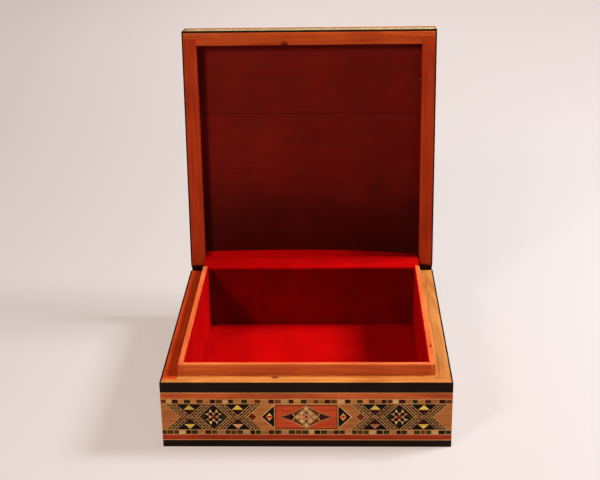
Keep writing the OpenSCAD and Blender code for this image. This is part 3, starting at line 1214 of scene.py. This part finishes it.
@dataclass
class SideField:
    """The repeating field on a side of the body: stars in diamond frames about a lozenge panel.

    Motifs are drawn from the left end of a full-width face: the first bundle's tip, where two
    bundles cross and how far each laps the crossing, the star's centre, the small diamond's
    centre and the wedge's point. The panel's edge is measured from its own middle.
    """

    work: Marquetry
    plane: Plane
    length: float
    low: float
    high: float

    end_tip: float = 11.6
    crossing: float = 17.5
    cross_lap: float = 0.9
    star_at: float = 32.5
    small_at: float = 56.5
    wedge_tip: float = 62.4
    panel_edge: float = 19.4
    drawn_half: float = 90.0

    mid: float = field(init=False)
    half: float = field(init=False)
    centre: float = field(init=False)
    shift: float = field(init=False)
    crossings: tuple[float, float] = field(init=False)

    def __post_init__(self) -> None:
        """Work out the face's middle, its distance from a full-width face's, and the crossings."""
        self.mid = (self.low + self.high) / 2
        self.half = (self.high - self.low) / 2
        self.centre = self.length / 2
        self.shift = self.centre - self.drawn_half
        self.crossings = (self.crossing, 2 * self.star_at - self.crossing)

    def lay(self) -> None:
        """Lay the whole field on its face."""
        self.work.lay(self.plane, Species.WALNUT, rectangle(0, self.length, self.low, self.high), 0)
        self.bands()
        self.notches()
        self.stars()
        self.wedges()
        self.panel()

    def pair(self, species: Species, pieces: Array, layer: int, grain: float = 0.0) -> None:
        """Lay pieces drawn from the left end of a full-width face, and their mirror image.

        Args:
            species: what they are cut from.
            pieces: k x 2 or n x k x 2 corners, in millimetres.
            layer: later layers cover earlier ones by a hair.
            grain: the fibres' angle on the face, in radians.
        """
        both = mirrored(np.asarray(pieces) + np.array([self.shift, 0]), self.centre)
        self.work.lay(self.plane, species, both, layer, grain)

    def bundle(self, tip: float, pointing: int) -> None:
        """Lay one bent bundle of light lines and rope between its inner and outer edge.

        Args:
            tip: the bundle's outer tip, on the side that it points to.
            pointing: 1 for a bundle like ">" and -1 for one like "<".
        """
        whole = np.array([[0, self.half]])
        width = self.crossing + self.cross_lap - self.end_tip
        shares = np.array([0, 0.08, 0.31, 0.39, 0.61, 0.69, 0.92, 1.0])
        edges = tip - pointing * width * shares
        pale = Species.PALE
        looks = (pale, Species.EBONY, pale, Species.BROWN, pale, Species.OLIVE, pale)
        for number, species in enumerate(looks):
            strip = chevron(edges[[number, number + 1]], self.mid, whole, pointing)
            self.pair(species, strip, 3, math.pi / 4)
        steps = np.linspace(0, self.half, 9)
        dashes = np.stack([steps[:-1] + 0.2, steps[1:] - 0.2], axis=1)
        drawn_in = np.array([[0.8, 0.2], [0.2, 0.8]])
        for first, number, species in ((0, 1, Species.WALNUT), (1, 3, Species.MAROON), (0, 5, Species.TAN)):
            middle = edges[[number, number + 1]] @ drawn_in
            strip = chevron(middle, self.mid, dashes[first::2], pointing)
            self.pair(species, strip, 4, math.pi / 4)

    def bands(self) -> None:
        """Lay the bundles that cross on both sides of each star."""
        for crossing in self.crossings:
            self.bundle(crossing + self.cross_lap, 1)
            self.bundle(crossing - self.cross_lap, -1)

    def notches(self) -> None:
        """Lay the triangles above and below each crossing: a light one and a red one on black."""
        deep = self.half - self.cross_lap
        for number, crossing in enumerate(self.crossings):
            for side in (1, -1):
                top = self.mid + side * self.half
                base = top - side * deep / 2
                dark = self.triangle(crossing, deep, top, top - side * deep)
                light = self.triangle(crossing, deep / 2, base, top)
                light = light * 0.9 + light.mean(axis=0) * 0.1
                tip = self.triangle(crossing, deep / 2.3, base, base - side * deep / 2.3)
                bright = Species.PINK if number and side < 0 else Species.YELLOW
                self.pair(Species.EBONY, dark, 5)
                self.pair(bright, light, 7)
                self.pair(Species.MAROON, tip, 6)

    @staticmethod
    def triangle(middle: float, half: float, base: float, apex: float) -> Array:
        """Return a triangle with a level base, given its middle, half width and two heights."""
        return np.array([[middle - half, base], [middle + half, base], [middle, apex]])

    def stars(self) -> None:
        """Lay the eight-pointed star inside each diamond frame."""
        lay_star(self.work, self.plane, (self.star_at + self.shift, self.mid), self.half, 3)
        lay_star(self.work, self.plane, (self.length - self.star_at - self.shift, self.mid), self.half, 3)

    def wedges(self) -> None:
        """Lay the small diamond and the dark wedge that lead to the middle panel.

        The wedge's point is a right angle, and a small jewel of four pieces sits in its wide part.
        """
        for half, species, layer in ((3.9, Species.PALE, 5), (2.7, Species.RED, 6), (1.5, Species.BROWN, 7)):
            self.pair(species, diamond(self.small_at, self.mid, half), layer)
        foot = self.drawn_half - self.panel_edge
        tall = foot - self.wedge_tip
        for grow, species, layer in ((0.8, Species.PALE, 3), (0.0, Species.EBONY, 4)):
            reach = tall + grow
            wedge = [[foot - reach, self.mid], [foot, self.mid - reach], [foot, self.mid + reach]]
            self.pair(species, wedge, layer)
        heart = foot - tall * 0.42
        self.pair(Species.ORANGE, diamond(heart, self.mid, 2.3, 3.0), 5)
        slip = self.triangle(heart, 1.6, self.mid - 0.7, self.mid - 2.9)
        self.pair(Species.CREAM, slip, 6)
        self.pair(Species.YELLOW, slip * [1, -1] + [0, 2 * self.mid], 6)
        self.pair(Species.RED, diamond(heart, self.mid, 0.9), 7)

    def panel(self) -> None:
        """Lay the middle panel: a long lozenge with a lattice rosette on a red-orange ground.

        The rosette's cells are diamonds on a 5 x 5 lattice, and each cell's species follows from
        its ring about the middle and from its place in the ring.
        """
        centre = np.array([self.centre, self.mid])
        wide, tall = self.panel_edge, self.half
        frames = ((0.6, 0.0, Species.LINE), (0.0, 0.3, Species.BROWN), (-0.6, 1.0, Species.ORANGE))
        for layer, (grow, inset, species) in enumerate(frames, 6):
            frame_piece = rectangle(-wide - grow, wide + grow, inset - tall, tall - inset)
            self.work.lay(self.plane, species, frame_piece + centre, layer)
        tip, knee, rise, top = 16.4, 8.6, 3.3, 8.1
        quarter = np.array([[tip, 0], [knee, rise], [0, top], [-knee, rise]])
        lozenge = np.concatenate([quarter, -quarter])
        self.work.lay(self.plane, Species.PALE, lozenge * [1.03, 1.0] + centre, 9)
        self.work.lay(self.plane, Species.BROWN, lozenge * [0.99, 0.92] + centre, 10)
        back, wing = -knee - 0.1, rise - 0.5
        kite = np.array([[1.0 - tip, 0], [back, -wing], [1.6 - knee, 0], [back, wing]]) + centre
        middle = kite.mean(axis=0)
        self.work.lay(self.plane, Species.PALE, mirrored(kite + [0.5, 0], self.centre), 11)
        self.work.lay(self.plane, Species.MAROON, mirrored((kite - middle) * 0.86 + middle, self.centre), 12)
        rosette = np.array([7.2, 7.6])
        self.work.lay(self.plane, Species.PALE, diamond(0, 0, *rosette) + centre, 13)
        step = rosette / 5 * [[1, 1], [1, -1]]
        row, column = (places.ravel() for places in np.meshgrid(*[np.arange(-2, 3)] * 2, indexing="ij"))
        ring, slant = np.maximum(np.abs(row), np.abs(column)), row * column
        near = ring == 1
        tests = (ring == 0, near & (slant < 0), near & (slant > 0), near, (row + column) % 2 == 0)
        kinds = np.select(tests, range(5), 5)
        middles = np.stack([row, column], axis=-1) @ step + centre
        cells = middles[:, None] + diamond(0, 0, *rosette / 5 * 0.84)
        looks = (Species.RED, Species.BROWN, Species.WALNUT, Species.PINK, Species.CREAM, Species.TAN)
        for kind, species in enumerate(looks):
            self.work.lay(self.plane, species, cells[kinds == kind], 14)


# Half the diagonal of the diamond that the star's pieces are drawn for, in millimetres.
STAR_DRAWN = 9.05


def lay_star(work: Marquetry, plane: Plane, centre: tuple[float, float], half: float, layer: int) -> None:
    """Lay an eight-pointed star of small triangles in a dark diamond.

    Its pieces are drawn for a diamond of STAR_DRAWN and scaled with the diamond.

    Args:
        work: the marquetry being laid.
        plane: the face.
        centre: the star's centre on the face.
        half: half the diamond's diagonal.
        layer: the layer of its ground.
    """
    unit = half / STAR_DRAWN
    turned = np.array([[1, -1], [1, 1]]) / math.sqrt(2)
    work.lay(plane, Species.EBONY, diamond(*centre, half), layer)
    corner = diamond(0, 0, 1.9) * unit
    corners = quarter_turns(corner + np.array([0, 6.9]) * unit, centre)
    for first, species in ((0, Species.MAROON), (1, Species.OLIVE)):
        work.lay(plane, species, corners[first::2], layer + 1)
    dart = np.array([[-1.15, -1.2], [1.15, -1.2], [0.0, 1.5]])
    for side, looks in ((1, (Species.YELLOW, Species.CREAM)), (-1, (Species.CREAM, Species.PINK))):
        darts = quarter_turns((dart + np.array([side * 1.95, 4.3])) * unit, centre)
        for first, species in enumerate(looks):
            work.lay(plane, species, darts[first::2], layer + 2)
    work.lay(plane, Species.BROWN, diamond(*centre, 3.6 * unit), layer + 2)
    petal = np.array([[-1.3, 2.9], [1.3, 2.9], [0.0, 1.0]]) * unit
    work.lay(plane, Species.CREAM, quarter_turns(petal, centre), layer + 4)
    work.lay(plane, Species.MAROON, quarter_turns(petal @ turned.T * 0.95, centre), layer + 3)
    work.lay(plane, Species.RED, diamond(*centre, 1.15 * unit), layer + 5)


# A border's block, as its length over its width, and the slip between blocks, in millimetres.
BLOCK_SHAPE, SLIP_LENGTH = 1.3, 0.5


def lay_border(
    work: Marquetry,
    plane: Plane,
    span: tuple[float, float],
    rise: tuple[float, float],
    looks: list[Species],
    upright: bool = False,
) -> None:
    """Lay a border of short blocks with thin light slips between them.

    A block is about BLOCK_SHAPE times as long as the border is wide. The lengths vary a little
    at random and are then scaled to fill the span.

    Args:
        work: the marquetry being laid.
        plane: the face.
        span: where the border starts and ends along its length.
        rise: where it starts and ends across.
        looks: the species that follow each other.
        upright: lay it along the face's second direction.
    """
    block = (rise[1] - rise[0]) * BLOCK_SHAPE
    whole = span[1] - span[0]
    count = 2 * max(1, round(whole / (block + SLIP_LENGTH)))
    lengths = RNG.uniform(0.8, 1.2, count) * block
    lengths[1::2] = SLIP_LENGTH
    edges = span[0] + whole * np.concatenate([[0], np.cumsum(lengths)]) / lengths.sum()
    a, b = edges[:-1], edges[1:]
    low, high = np.full_like(a, rise[0]), np.full_like(a, rise[1])
    blocks = outlines((a, low), (b, low), (b, high), (a, high))
    if upright:
        blocks = blocks[..., ::-1]
    kinds = np.arange(count) // 2 % len(looks)
    kinds[1::2] = -1
    for kind, species in enumerate(looks):
        work.lay(plane, species, blocks[kinds == kind], 6, math.pi / 2 if upright else 0.0)
    work.lay(plane, Species.LINE, blocks[kinds == -1], 6)


def body_planes(
    low: Array, high: Array, inset: float, on_lid: bool = False
) -> list[tuple[Plane, float]]:
    """Give the four outside faces of a box as planes with their lengths.

    The front and back run the full width. The sides lie between them.

    Args:
        low: the box's lowest corner.
        high: its highest corner.
        inset: the veneer's thickness.
        on_lid: whether the planes ride on the lid.

    Returns:
        Front, right, back and left, each with its length.
    """
    x0, y0, x1, y1 = low[0], low[1], high[0], high[1]
    up = (0, 0, 1)
    width, depth = x1 - x0, y1 - y0 - 2 * inset
    return [
        (Plane((x0, y0, 0), (1, 0, 0), up, (0, -1, 0), on_lid), width),
        (Plane((x1, y0 + inset, 0), (0, 1, 0), up, (1, 0, 0), on_lid), depth),
        (Plane((x1, y1, 0), (-1, 0, 0), up, (0, 1, 0), on_lid), width),
        (Plane((x0, y1 - inset, 0), (0, -1, 0), up, (-1, 0, 0), on_lid), depth),
    ]


# --------------------------------------------------------------------------- sub-assemblies


@dataclass
class Body:
    """The fixed box: boards, bands, marquetry and bottom."""

    rounding: float = BOARD_ROUND

    def boards(self) -> None:
        """Dress the four boards, the liners that stand up as a lip, and the bottom."""
        for side, run in SIDE_RUNS.items():
            # The left board's wood carries painted shade from its lip's shadow.
            wood = {"left": LEFT_RIM_SHADE_WOOD, "right": RIGHT_RIM_WOOD}.get(side, RIM_WOOD)
            knot = BODY_KNOT if side == "front" else None
            soften(f"{side}_wall", wood.material(run, knot=knot), self.rounding)
            soften(f"{side}_liner", LIP_WOOD.material(run), self.rounding)
        soften("bottom_panel", BOTTOM_WOOD.material(), BASE_ROUND)

    def bands(self) -> None:
        """Dress the black, red and light bands."""
        for node in ("black_rim_bands", "black_base_bands"):
            soften(node, EBONY.material(), BLACK_ROUND)
        soften("upper_red_bands", UPPER_RED.material(), RED_ROUND)
        soften("lower_red_bands", LOWER_RED.material(), RED_ROUND)
        soften("body_stringing", LIGHT_LINE.material(), LINE_ROUND, 1)

    def marquetry(self) -> None:
        """Lay the field on each side and the small borders above and below it."""
        low, high = body_box("black_base_bands")
        veneer = body_box("front_wall")[0][1] - low[1]
        planes = body_planes(low, high, veneer)
        for (plane, length), side in zip(planes, ("front", "right", "back", "left")):
            z = body_box(f"marquetry_{side}")
            work = Marquetry(f"field_{side}")
            SideField(work, plane, length, z[0][2], z[1][2]).lay()
            work.build(f"marquetry_{side}", "marquetry")
        looks = {
            "upper_mosaic_borders": "BROWN PALE MAROON TAN OLIVE WALNUT BROWN TAN MAROON",
            "lower_mosaic_borders": "OLIVE BROWN OLIVE PALE EBONY OLIVE TAN MAROON OLIVE PINK",
        }
        for node, names in looks.items():
            species = [Species[name] for name in names.split()]
            z = body_box(node)
            work = Marquetry(node.replace("borders", "blocks"))
            for plane, length in planes:
                lay_border(work, plane, (0, length), (z[0][2], z[1][2]), species)
            work.build(node, "mosaic")


@dataclass
class Lid:
    """The hinged lid: rails, panel, edge bands and the marquetry on top.

    The edge's teeth are given as shares of its height.
    """

    rounding: float = BOARD_ROUND
    tooth_height: float = 0.47
    tooth_gap: float = 0.02
    rope_dashes: int = 36

    def boards(self) -> None:
        """Dress the rails and the two boards of the panel."""
        for side, run in SIDE_RUNS.items():
            wood, knot = (FRONT_RAIL_WOOD, LID_KNOT) if side == "front" else (RAIL_WOOD, None)
            soften(f"lid_{side}_rail", wood.material(run, Place.LID, knot), self.rounding)
        for part in ("front", "back"):
            soften(f"lid_panel_{part}", PANEL_WOOD.material(Run.ALONG_X, Place.LID), PANEL_ROUND)

    def bands(self) -> None:
        """Dress the bands on the lid's edge and the frames on its top."""
        lid = (Run.ALONG_X, Place.LID)
        for node in ("lid_black_bands", "lid_top_black_border"):
            soften(node, EBONY.material(*lid), BLACK_ROUND)
        for node in ("lid_red_bands", "lid_top_red_border"):
            soften(node, UPPER_RED.material(*lid), RED_ROUND)
        for node in ("lid_stringing", "lid_top_stringing"):
            soften(node, LIGHT_LINE.material(*lid), LINE_ROUND, 1)

    def edge_marquetry(self) -> None:
        """Lay two rows of pale and grey-green teeth round the lid's edge."""
        pale, sage = Species.PALE, Species.SAGE
        low, high = closed_box("lid_edge_mosaics")
        veneer = closed_box("lid_front_rail")[0][1] - low[1]
        work = Marquetry("lid_edge_sawtooth")
        for plane, length in body_planes(low, high, veneer, True):
            z0, z1 = low[2], high[2]
            work.lay(plane, Species.OLIVE, rectangle(0, length, z0, z1), 0)
            for row, (look_up, look_down) in enumerate(((pale, sage), (sage, pale))):
                bottom = z0 + (z1 - z0) * (self.tooth_gap + (self.tooth_height + self.tooth_gap) * row)
                top = bottom + (z1 - z0) * self.tooth_height
                count = round(length / (top - bottom) / 1.1)
                edges = np.linspace(0, length, count + 1)
                a, b = edges[:-1], edges[1:]
                middle = (a + b) / 2
                feet, tips = np.full_like(a, bottom), np.full_like(a, top)
                up = outlines((a, feet), (b, feet), (middle, tips))
                down = outlines((middle[:-1], tips[1:]), (b[:-1], feet[1:]), (middle[1:], tips[1:]))
                work.lay(plane, look_up, up, 2, math.pi / 2)
                work.lay(plane, look_down, down, 2, 0.3)
        work.build("lid_edge_mosaics", "mosaic")

    def top_marquetry(self) -> None:
        """Lay the block border and the star field on the lid's top."""
        low, high = closed_box("lid_top_mosaic_border")
        inner_low, inner_high = closed_box("lid_top_red_border")
        top = Plane((0, 0, high[2]), (1, 0, 0), (0, 1, 0), (0, 0, 1), True)
        margin = 0.6 + abs(closed_box("lid_stringing")[1][2] - closed_box("lid_red_bands")[0][2])
        rim = (low[0], high[0])
        inside = (inner_low[0] - margin, inner_high[0] + margin)
        work = Marquetry("lid_top_blocks")
        looks = [Species[name] for name in "MAROON CREAM OLIVE TAN BROWN YELLOW".split()]
        for low_edge, high_edge in ((rim[0], inside[0]), (inside[1], rim[1])):
            lay_border(work, top, rim, (low_edge, high_edge), looks)
            lay_border(work, top, inside, (low_edge, high_edge), looks, True)
        work.build("lid_top_mosaic_border", "mosaic")
        self.star_field(top)

    def star_field(self, top: Plane) -> None:
        """Lay the middle of the lid: a great star in a framed diamond, and a star in each corner.

        Args:
            top: the lid's top.
        """
        low, high = closed_box("lid_top_marquetry")
        half = (high[0] - low[0]) / 2
        work = Marquetry("lid_top_stars")
        work.lay(top, Species.WALNUT, rectangle(low[0], high[0], low[1], high[1]), 0)
        shares = (1.0, 0.985, 0.955, 0.94, 0.86, 0.845, 0.8, 0.785)
        names = "LINE EBONY LINE BROWN LINE ORANGE LINE EBONY".split()
        for layer, (share, name) in enumerate(zip(shares, names), 1):
            work.lay(top, Species[name], diamond(0, 0, half * share), layer)
        self.rope(work, top, half * 0.9, half * 0.05)
        lay_star(work, top, (0.0, 0.0), half * 0.775, 10)
        corner, small = half * 0.745, half * 0.235
        rims = ((1.12, Species.LINE, 2), (1.09, Species.BROWN, 3), (1.02, Species.LINE, 4))
        for u in (-corner, corner):
            for v in (-corner, corner):
                for grow, species, layer in rims:
                    work.lay(top, species, diamond(u, v, small * grow), layer)
                lay_star(work, top, (u, v), small, 5)
        work.build("lid_top_marquetry", "marquetry")

    def rope(self, work: Marquetry, top: Plane, at: float, width: float) -> None:
        """Lay dashes along a diamond's four sides.

        A dash runs between two shares of a side, from the inner diamond to the outer one.

        Args:
            work: the marquetry being laid.
            top: the lid's top.
            at: the half diagonal of the dashes' middle.
            width: their width along the diagonal.
        """
        shares = np.linspace(0, 1, self.rope_dashes + 1)
        a, b = shares[:-1], shares[1:]
        inner, outer = at - width / 2, at + width / 2
        dashes = outlines(
            (inner * (1 - a), inner * a),
            (inner * (1 - b), inner * b),
            (outer * (1 - b), outer * b),
            (outer * (1 - a), outer * a),
        )
        turns = np.stack([quarter_turns(dash, (0, 0)) for dash in dashes])
        for first, species in enumerate((Species.CREAM, Species.MAROON)):
            work.lay(top, species, turns[first::2].reshape(-1, 4, 2), 9, math.pi / 4)


@dataclass
class Lining:
    """The velvet inside the box, the velvet strip over the hinge, and the felt underneath.

    The grid's pitch, the edge's rounding and the strip's cloth are in millimetres. The height at a
    sheet's edge, its rise to the middle and its ripple are shares of the space's thickness. The
    open lid's panel leans back by a little over its height.
    """

    pitch: float = 1.6
    puff: float = 0.14
    edge_height: float = 0.8
    crown: float = 0.13
    nap: float = 0.06
    strip_cloth: float = 0.45
    strip_points: tuple[int, int] = (96, 46)
    panel_lean: float = 0.078

    def shares(self, size: float) -> Array:
        """Divide a length evenly, with extra points close to both ends for the rounded edge.

        Args:
            size: the length, in millimetres.

        Returns:
            Rising shares of the length, from 0 to 1.
        """
        edge = np.array([0, 0.04, 0.15, 0.4, 1.0]) * self.puff
        middle = np.linspace(self.pitch, size - self.pitch, max(6, round(size / self.pitch)))
        return np.concatenate([edge, middle, size - edge[::-1]]) / size

    def sheet(self, node: str, seen: int, sign: int, finish: Cloth = VELVET) -> Piece:
        """Lay one glued piece of cloth over the space of its node.

        The seen side is a grid whose height is its full thickness, drawn in at the edges by a
        quarter round, plus a slow ripple that is the sum of two sines.

        Args:
            node: the cloth's node.
            seen: the axis that the seen side faces, 0 to 2.
            sign: 1 if it faces that axis's positive direction, or -1.
            finish: the cloth.

        Returns:
            The piece.
        """
        low, high = body_box(node)
        a, b = [axis for axis in range(3) if axis != seen]
        size_a, size_b = high[a] - low[a], high[b] - low[b]
        u, v = np.meshgrid(self.shares(size_a), self.shares(size_b), indexing="ij")
        near = np.minimum(np.minimum(u, 1 - u) * size_a, np.minimum(v, 1 - v) * size_b)
        edge = np.clip(near / self.puff, 0, 1)
        thick = high[seen] - low[seen]
        ripple = np.sin(u * size_a / 9 + 1.3) * np.sin(v * size_b / 13 + 0.4)
        rise = self.crown * np.sqrt(1 - (1 - edge) ** 2) + self.nap * ripple * edge
        height = thick * (self.edge_height + rise)
        outer = np.empty((*u.shape, 3))
        outer[..., a] = low[a] + u * size_a
        outer[..., b] = low[b] + v * size_b
        base = low[seen] if sign > 0 else high[seen]
        outer[..., seen] = base + sign * height
        inner = outer.copy()
        inner[..., seen] = base
        piece = shell_from_grid(f"{node}_cloth", outer * MM, inner * MM, finish.material())
        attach(piece, "box")
        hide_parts(node)
        LOG.info("%s lined", node)
        return piece

    def build(self) -> None:
        """Lay every piece of cloth."""
        x, y, z = range(3)
        self.sheet("velvet_floor", z, 1)
        self.sheet("velvet_front", y, 1)
        # The back wall's darker velvet is painted shade.
        self.sheet("velvet_back", y, -1, VELVET_SHADED)
        self.sheet("velvet_left", x, 1)
        # The right wall's brighter velvet is painted light.
        self.sheet("velvet_right", x, -1, VELVET_LIT)
        self.sheet("base_felt", z, -1, FELT)
        self.hinge_strip()

    @staticmethod
    def relief(across: Array, fine: Array) -> tuple[Array, Array]:
        """Work out how far the hinge strip stands off its profile.

        A low bulge with soft creases grows to the right. The last part climbs the lid's panel,
        most in the middle and least at the right.

        Args:
            across: shares of the strip's width, as a column.
            fine: shares of its profile, as a row.

        Returns:
            The creased bulge and the climb, in millimetres.
        """
        bulge_from, climb_from = 0.12, 0.86
        swell = np.sin(np.pi * np.clip((fine - bulge_from) / (1 - bulge_from), 0, 1)) ** 1.3
        bulge = swell * (0.25 + 0.7 * across**2)
        crease = 0.12 * np.sin(across * 31 + 5 * fine) * swell
        climb = 2.9 + 1.1 * np.sin(np.pi * across) - 2.9 * across**4
        return bulge + crease, climb * np.clip((fine - climb_from) / (1 - climb_from), 0, 1) ** 1.5

    def hinge_strip(self) -> None:
        """Hang the strip that hides the hinge, from the back liner to the lid's panel.

        Its profile is a smooth curve through a few points in Y and Z, which are placed from the
        back liner's top, the back rail's lower inner edge and the panel's edge. The grid carries
        the profile along X and adds the cloth's own relief.
        """
        low, high = body_box("hinge_cloth")
        liner = body_box("back_liner")
        hinge = np.array(joint("lid_hinge")["pos_m"]) / MM
        inside = body_box("right_liner")[1][1]
        panel = closed_box("lid_panel_back")[0][2]
        edge, far = moved(np.array([[0, inside, hinge[2]], [0, inside, panel]]) * MM, LID) / MM
        top, front = liner[1][2], liner[0][1]
        over_liner = np.array([[-0.75, -1.4], [-0.7, -0.2], [0.2, 0.55], [2.4, 0.8]])
        over_rail = np.array([[-3.5, -0.3], [-0.4, 0.75], [2.5, 1.0]])
        to_panel = np.array([[-2.2, 0.85], [-0.25, 0.9]])
        knots = np.concatenate([over_liner + [front, top], over_rail + edge[1:], to_panel + far[1:]])
        share = np.concatenate([[0], np.cumsum(np.linalg.norm(np.diff(knots, axis=0), axis=1))])
        share /= share[-1]
        fine = np.linspace(0, 1, self.strip_points[1])
        profile = np.stack([smooth_path(share, knots[:, i], fine) for i in range(2)], axis=-1)
        across = np.linspace(0, 1, self.strip_points[0])[:, None]
        bulge, climb = self.relief(across, fine)
        outer = np.empty((*self.strip_points, 3))
        outer[..., 0] = low[0] + across * (high[0] - low[0])
        outer[..., 1] = profile[:, 0] + self.panel_lean * climb
        outer[..., 2] = profile[:, 1] + bulge + climb
        slope = np.gradient(outer[..., 1:], axis=1)
        slope /= np.linalg.norm(slope, axis=-1, keepdims=True)
        inner = outer.copy()
        inner[..., 1] += self.strip_cloth * slope[..., 1]
        inner[..., 2] -= self.strip_cloth * slope[..., 0]
        piece = shell_from_grid("hinge_velvet", outer * MM, inner * MM, VELVET.material())
        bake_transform(piece)
        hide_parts("hinge_cloth")


def smooth_path(at: Array, values: Array, wanted: Array) -> Array:
    """Pass a smooth curve through values: a cubic between knots with slopes from their neighbours.

    Args:
        at: where the knots are, rising.
        values: the value at each knot.
        wanted: where the curve is asked for.

    Returns:
        The curve's values.
    """
    slope = np.gradient(values, at)
    cell = np.clip(np.searchsorted(at, wanted, side="right") - 1, 0, len(at) - 2)
    width = at[cell + 1] - at[cell]
    t = (wanted - at[cell]) / width
    a, b = values[cell], values[cell + 1]
    return (
        (2 * t**3 - 3 * t**2 + 1) * a
        + (t**3 - 2 * t**2 + t) * width * slope[cell]
        + (-2 * t**3 + 3 * t**2) * b
        + (t**3 - t**2) * width * slope[cell + 1]
    )


@dataclass
class Hardware:
    """The hinge, the hidden lock and the sliding strip that covers it."""

    def build(self) -> None:
        """Dress every metal piece and the strip."""
        for node in ("hinge_leaf_body", "hinge_leaf_lid", "hinge_screws_body", "hinge_screws_lid"):
            dress(node, HINGE_BRASS.material())
        dress("lid_catch_pin", BRASS.material())
        dress("hinge_pin", STEEL.material())
        for node in ("lock_plate", "lock_thumb_tab"):
            soften(node, BRASS.material(), METAL_ROUND)
        strip = (Run.ALONG_Y, Place.STRIP)
        soften("strip_core", RIM_WOOD.material(*strip), BASE_ROUND)
        soften("strip_black_band", EBONY.material(*strip), BASE_ROUND)
        soften("strip_red_band", LOWER_RED.material(*strip), RED_ROUND)
        soften("strip_stringing", LIGHT_LINE.material(*strip), LINE_ROUND, 1)


# --------------------------------------------------------------------------- setting


@dataclass(frozen=True)
class Lamp:
    """A square soft lamp. Its places and its side are in metres and its power in watts."""

    name: str
    at: tuple[float, float, float]
    size: float
    power: float
    colour: str
    aim: tuple[float, float, float] = (0.0, 0.0, 0.06)

    def hang(self) -> None:
        """Hang the lamp so that it faces its aim."""
        data = bpy.data.lights.new(self.name, "AREA")
        data.size, data.energy, data.color = self.size, self.power, tint(self.colour)[:3]
        placed(self.name, data).matrix_world = look_along(self.at, np.subtract(self.aim, self.at))


@dataclass
class Studio:
    """The pale floor, the lights and the camera. Lengths are in metres and angles in degrees."""

    floor: str = "847f7e"
    glow_near: str = "a49b95"
    glow_far: str = "bab0ac"
    floor_reach: float = 40.0
    floor_points: int = 9
    room: str = "fff0e8"
    room_light: float = 0.06
    room_seen: float = 0.34
    camera_at: tuple[float, float, float] = (0.0208, -0.7407, 0.4022)
    pitch: float = -21.98
    yaw: float = -2.007
    roll: float = -0.98
    lens: float = 72.35

    def build(self) -> None:
        """Make the whole setting."""
        self.make_floor()
        self.make_lights()
        self.make_camera()
        bpy.context.scene.view_settings.view_transform = "Standard"
        bpy.context.scene.view_settings.look = "High Contrast"

    def make_floor(self) -> None:
        """Lay a broad sheet of plain paper with a faint unevenness in its tone, which glows: its emission is
        painted light that lifts the box's shadow, brighter towards the back and dimmed towards the left as
        painted falloff of the key.
        """
        count = self.floor_points
        reach = np.linspace(-self.floor_reach, self.floor_reach, count)
        x, y = np.meshgrid(reach, reach, indexing="ij")
        points = np.stack([x, y, np.zeros_like(x)], axis=-1).reshape(-1, 3)
        made, t, shader = new_material("floor_paper")
        own = t.node("ShaderNodeTexCoord").outputs["Object"]
        shade = t.step(t.noise(own, 1.3, 2.0), 0.3, 0.7)
        colour = tint(self.floor)
        dim = tuple(0.97 * part for part in colour[:3]) + (1.0,)
        place = t.split(own)
        # Painted light: the glow grows towards the back and is dimmed towards the left as painted shade.
        glow = t.mix(t.step(place[1], 0.1, 1.3), tint(self.glow_near), tint(self.glow_far))
        side = t.grey(t.step(place[0], -0.6, -0.05, 0.8, 1.0))
        t.fill(
            shader,
            {
                "Base Color": t.mix(shade, dim, colour),
                "Roughness": 0.85,
                "Specular IOR Level": 0.2,
                "Emission Color": t.mix(1.0, glow, side, "MULTIPLY"),
                "Emission Strength": 1.0,
            },
        )
        floor = mesh_object("floor", points, grid_faces(count, count).tolist(), [made])

    def make_lights(self) -> None:
        """Hang the cool key on the right, a soft lamp at the front left and a broad warm ceiling.

        The room lights the box weakly, and looks brighter than that behind the floor's far edge.
        """
        Lamp("key", (0.86, 0.12, 0.86), 0.33, 17.5, "eef6ff").hang()
        Lamp("fill", (-0.62, -0.95, 0.8), 0.22, 6.8, "fff0e6").hang()
        Lamp("ceiling", (0.0, 1.0, 2.6), 4.0, 14, "ffeee6", aim=(0.0, 1.001, 0.0)).hang()
        world = bpy.data.worlds.new("room")
        bpy.context.scene.world = world
        world.use_nodes = True
        t = Tree(world.node_tree)
        seen = t.node("ShaderNodeLightPath").outputs["Is Camera Ray"]
        strength = t.node("ShaderNodeMapRange")
        t.fill(strength, {"Value": seen, "To Min": self.room_light, "To Max": self.room_seen})
        back = world.node_tree.nodes["Background"]
        t.fill(back, {"Color": tint(self.room), "Strength": strength.outputs["Result"]})

    def make_camera(self) -> None:
        """Place the camera by its pitch, yaw and roll."""
        pitch, yaw, roll = (math.radians(v) for v in (self.pitch, self.yaw, self.roll))
        level = math.cos(pitch)
        forward = np.array([math.sin(yaw) * level, math.cos(yaw) * level, math.sin(pitch)])
        data = bpy.data.cameras.new("camera")
        data.lens = self.lens
        data.clip_start = 0.01
        camera = placed("camera", data)
        camera.matrix_world = look_along(self.camera_at, forward) @ Matrix.Rotation(roll, 4, "Z")
        bpy.context.scene.camera = camera


def look_along(at: Array, forward: Array) -> Matrix:
    """Give the matrix of a lamp or camera at a point, looking along a direction, level.

    Args:
        at: its place, in metres.
        forward: the direction that it looks in.

    Returns:
        The 4 x 4 matrix.
    """
    forward = forward / np.linalg.norm(forward)
    right = np.cross(forward, [0, 0, 1])
    right /= np.linalg.norm(right)
    up = np.cross(right, forward)
    matrix = np.eye(4)
    matrix[:3, 0], matrix[:3, 1], matrix[:3, 2], matrix[:3, 3] = right, up, -forward, at
    return Matrix(matrix.tolist())


def main() -> None:
    """Build the box from the boards outwards, then its setting."""
    logging.basicConfig(level=logging.INFO, format="%(name)s: %(message)s")
    body = Body()
    body.boards()
    body.bands()
    body.marquetry()
    lid = Lid()
    lid.boards()
    lid.bands()
    lid.edge_marquetry()
    lid.top_marquetry()
    Lining().build()
    Hardware().build()
    Studio().build()


if __name__ == "__main__":
    main()
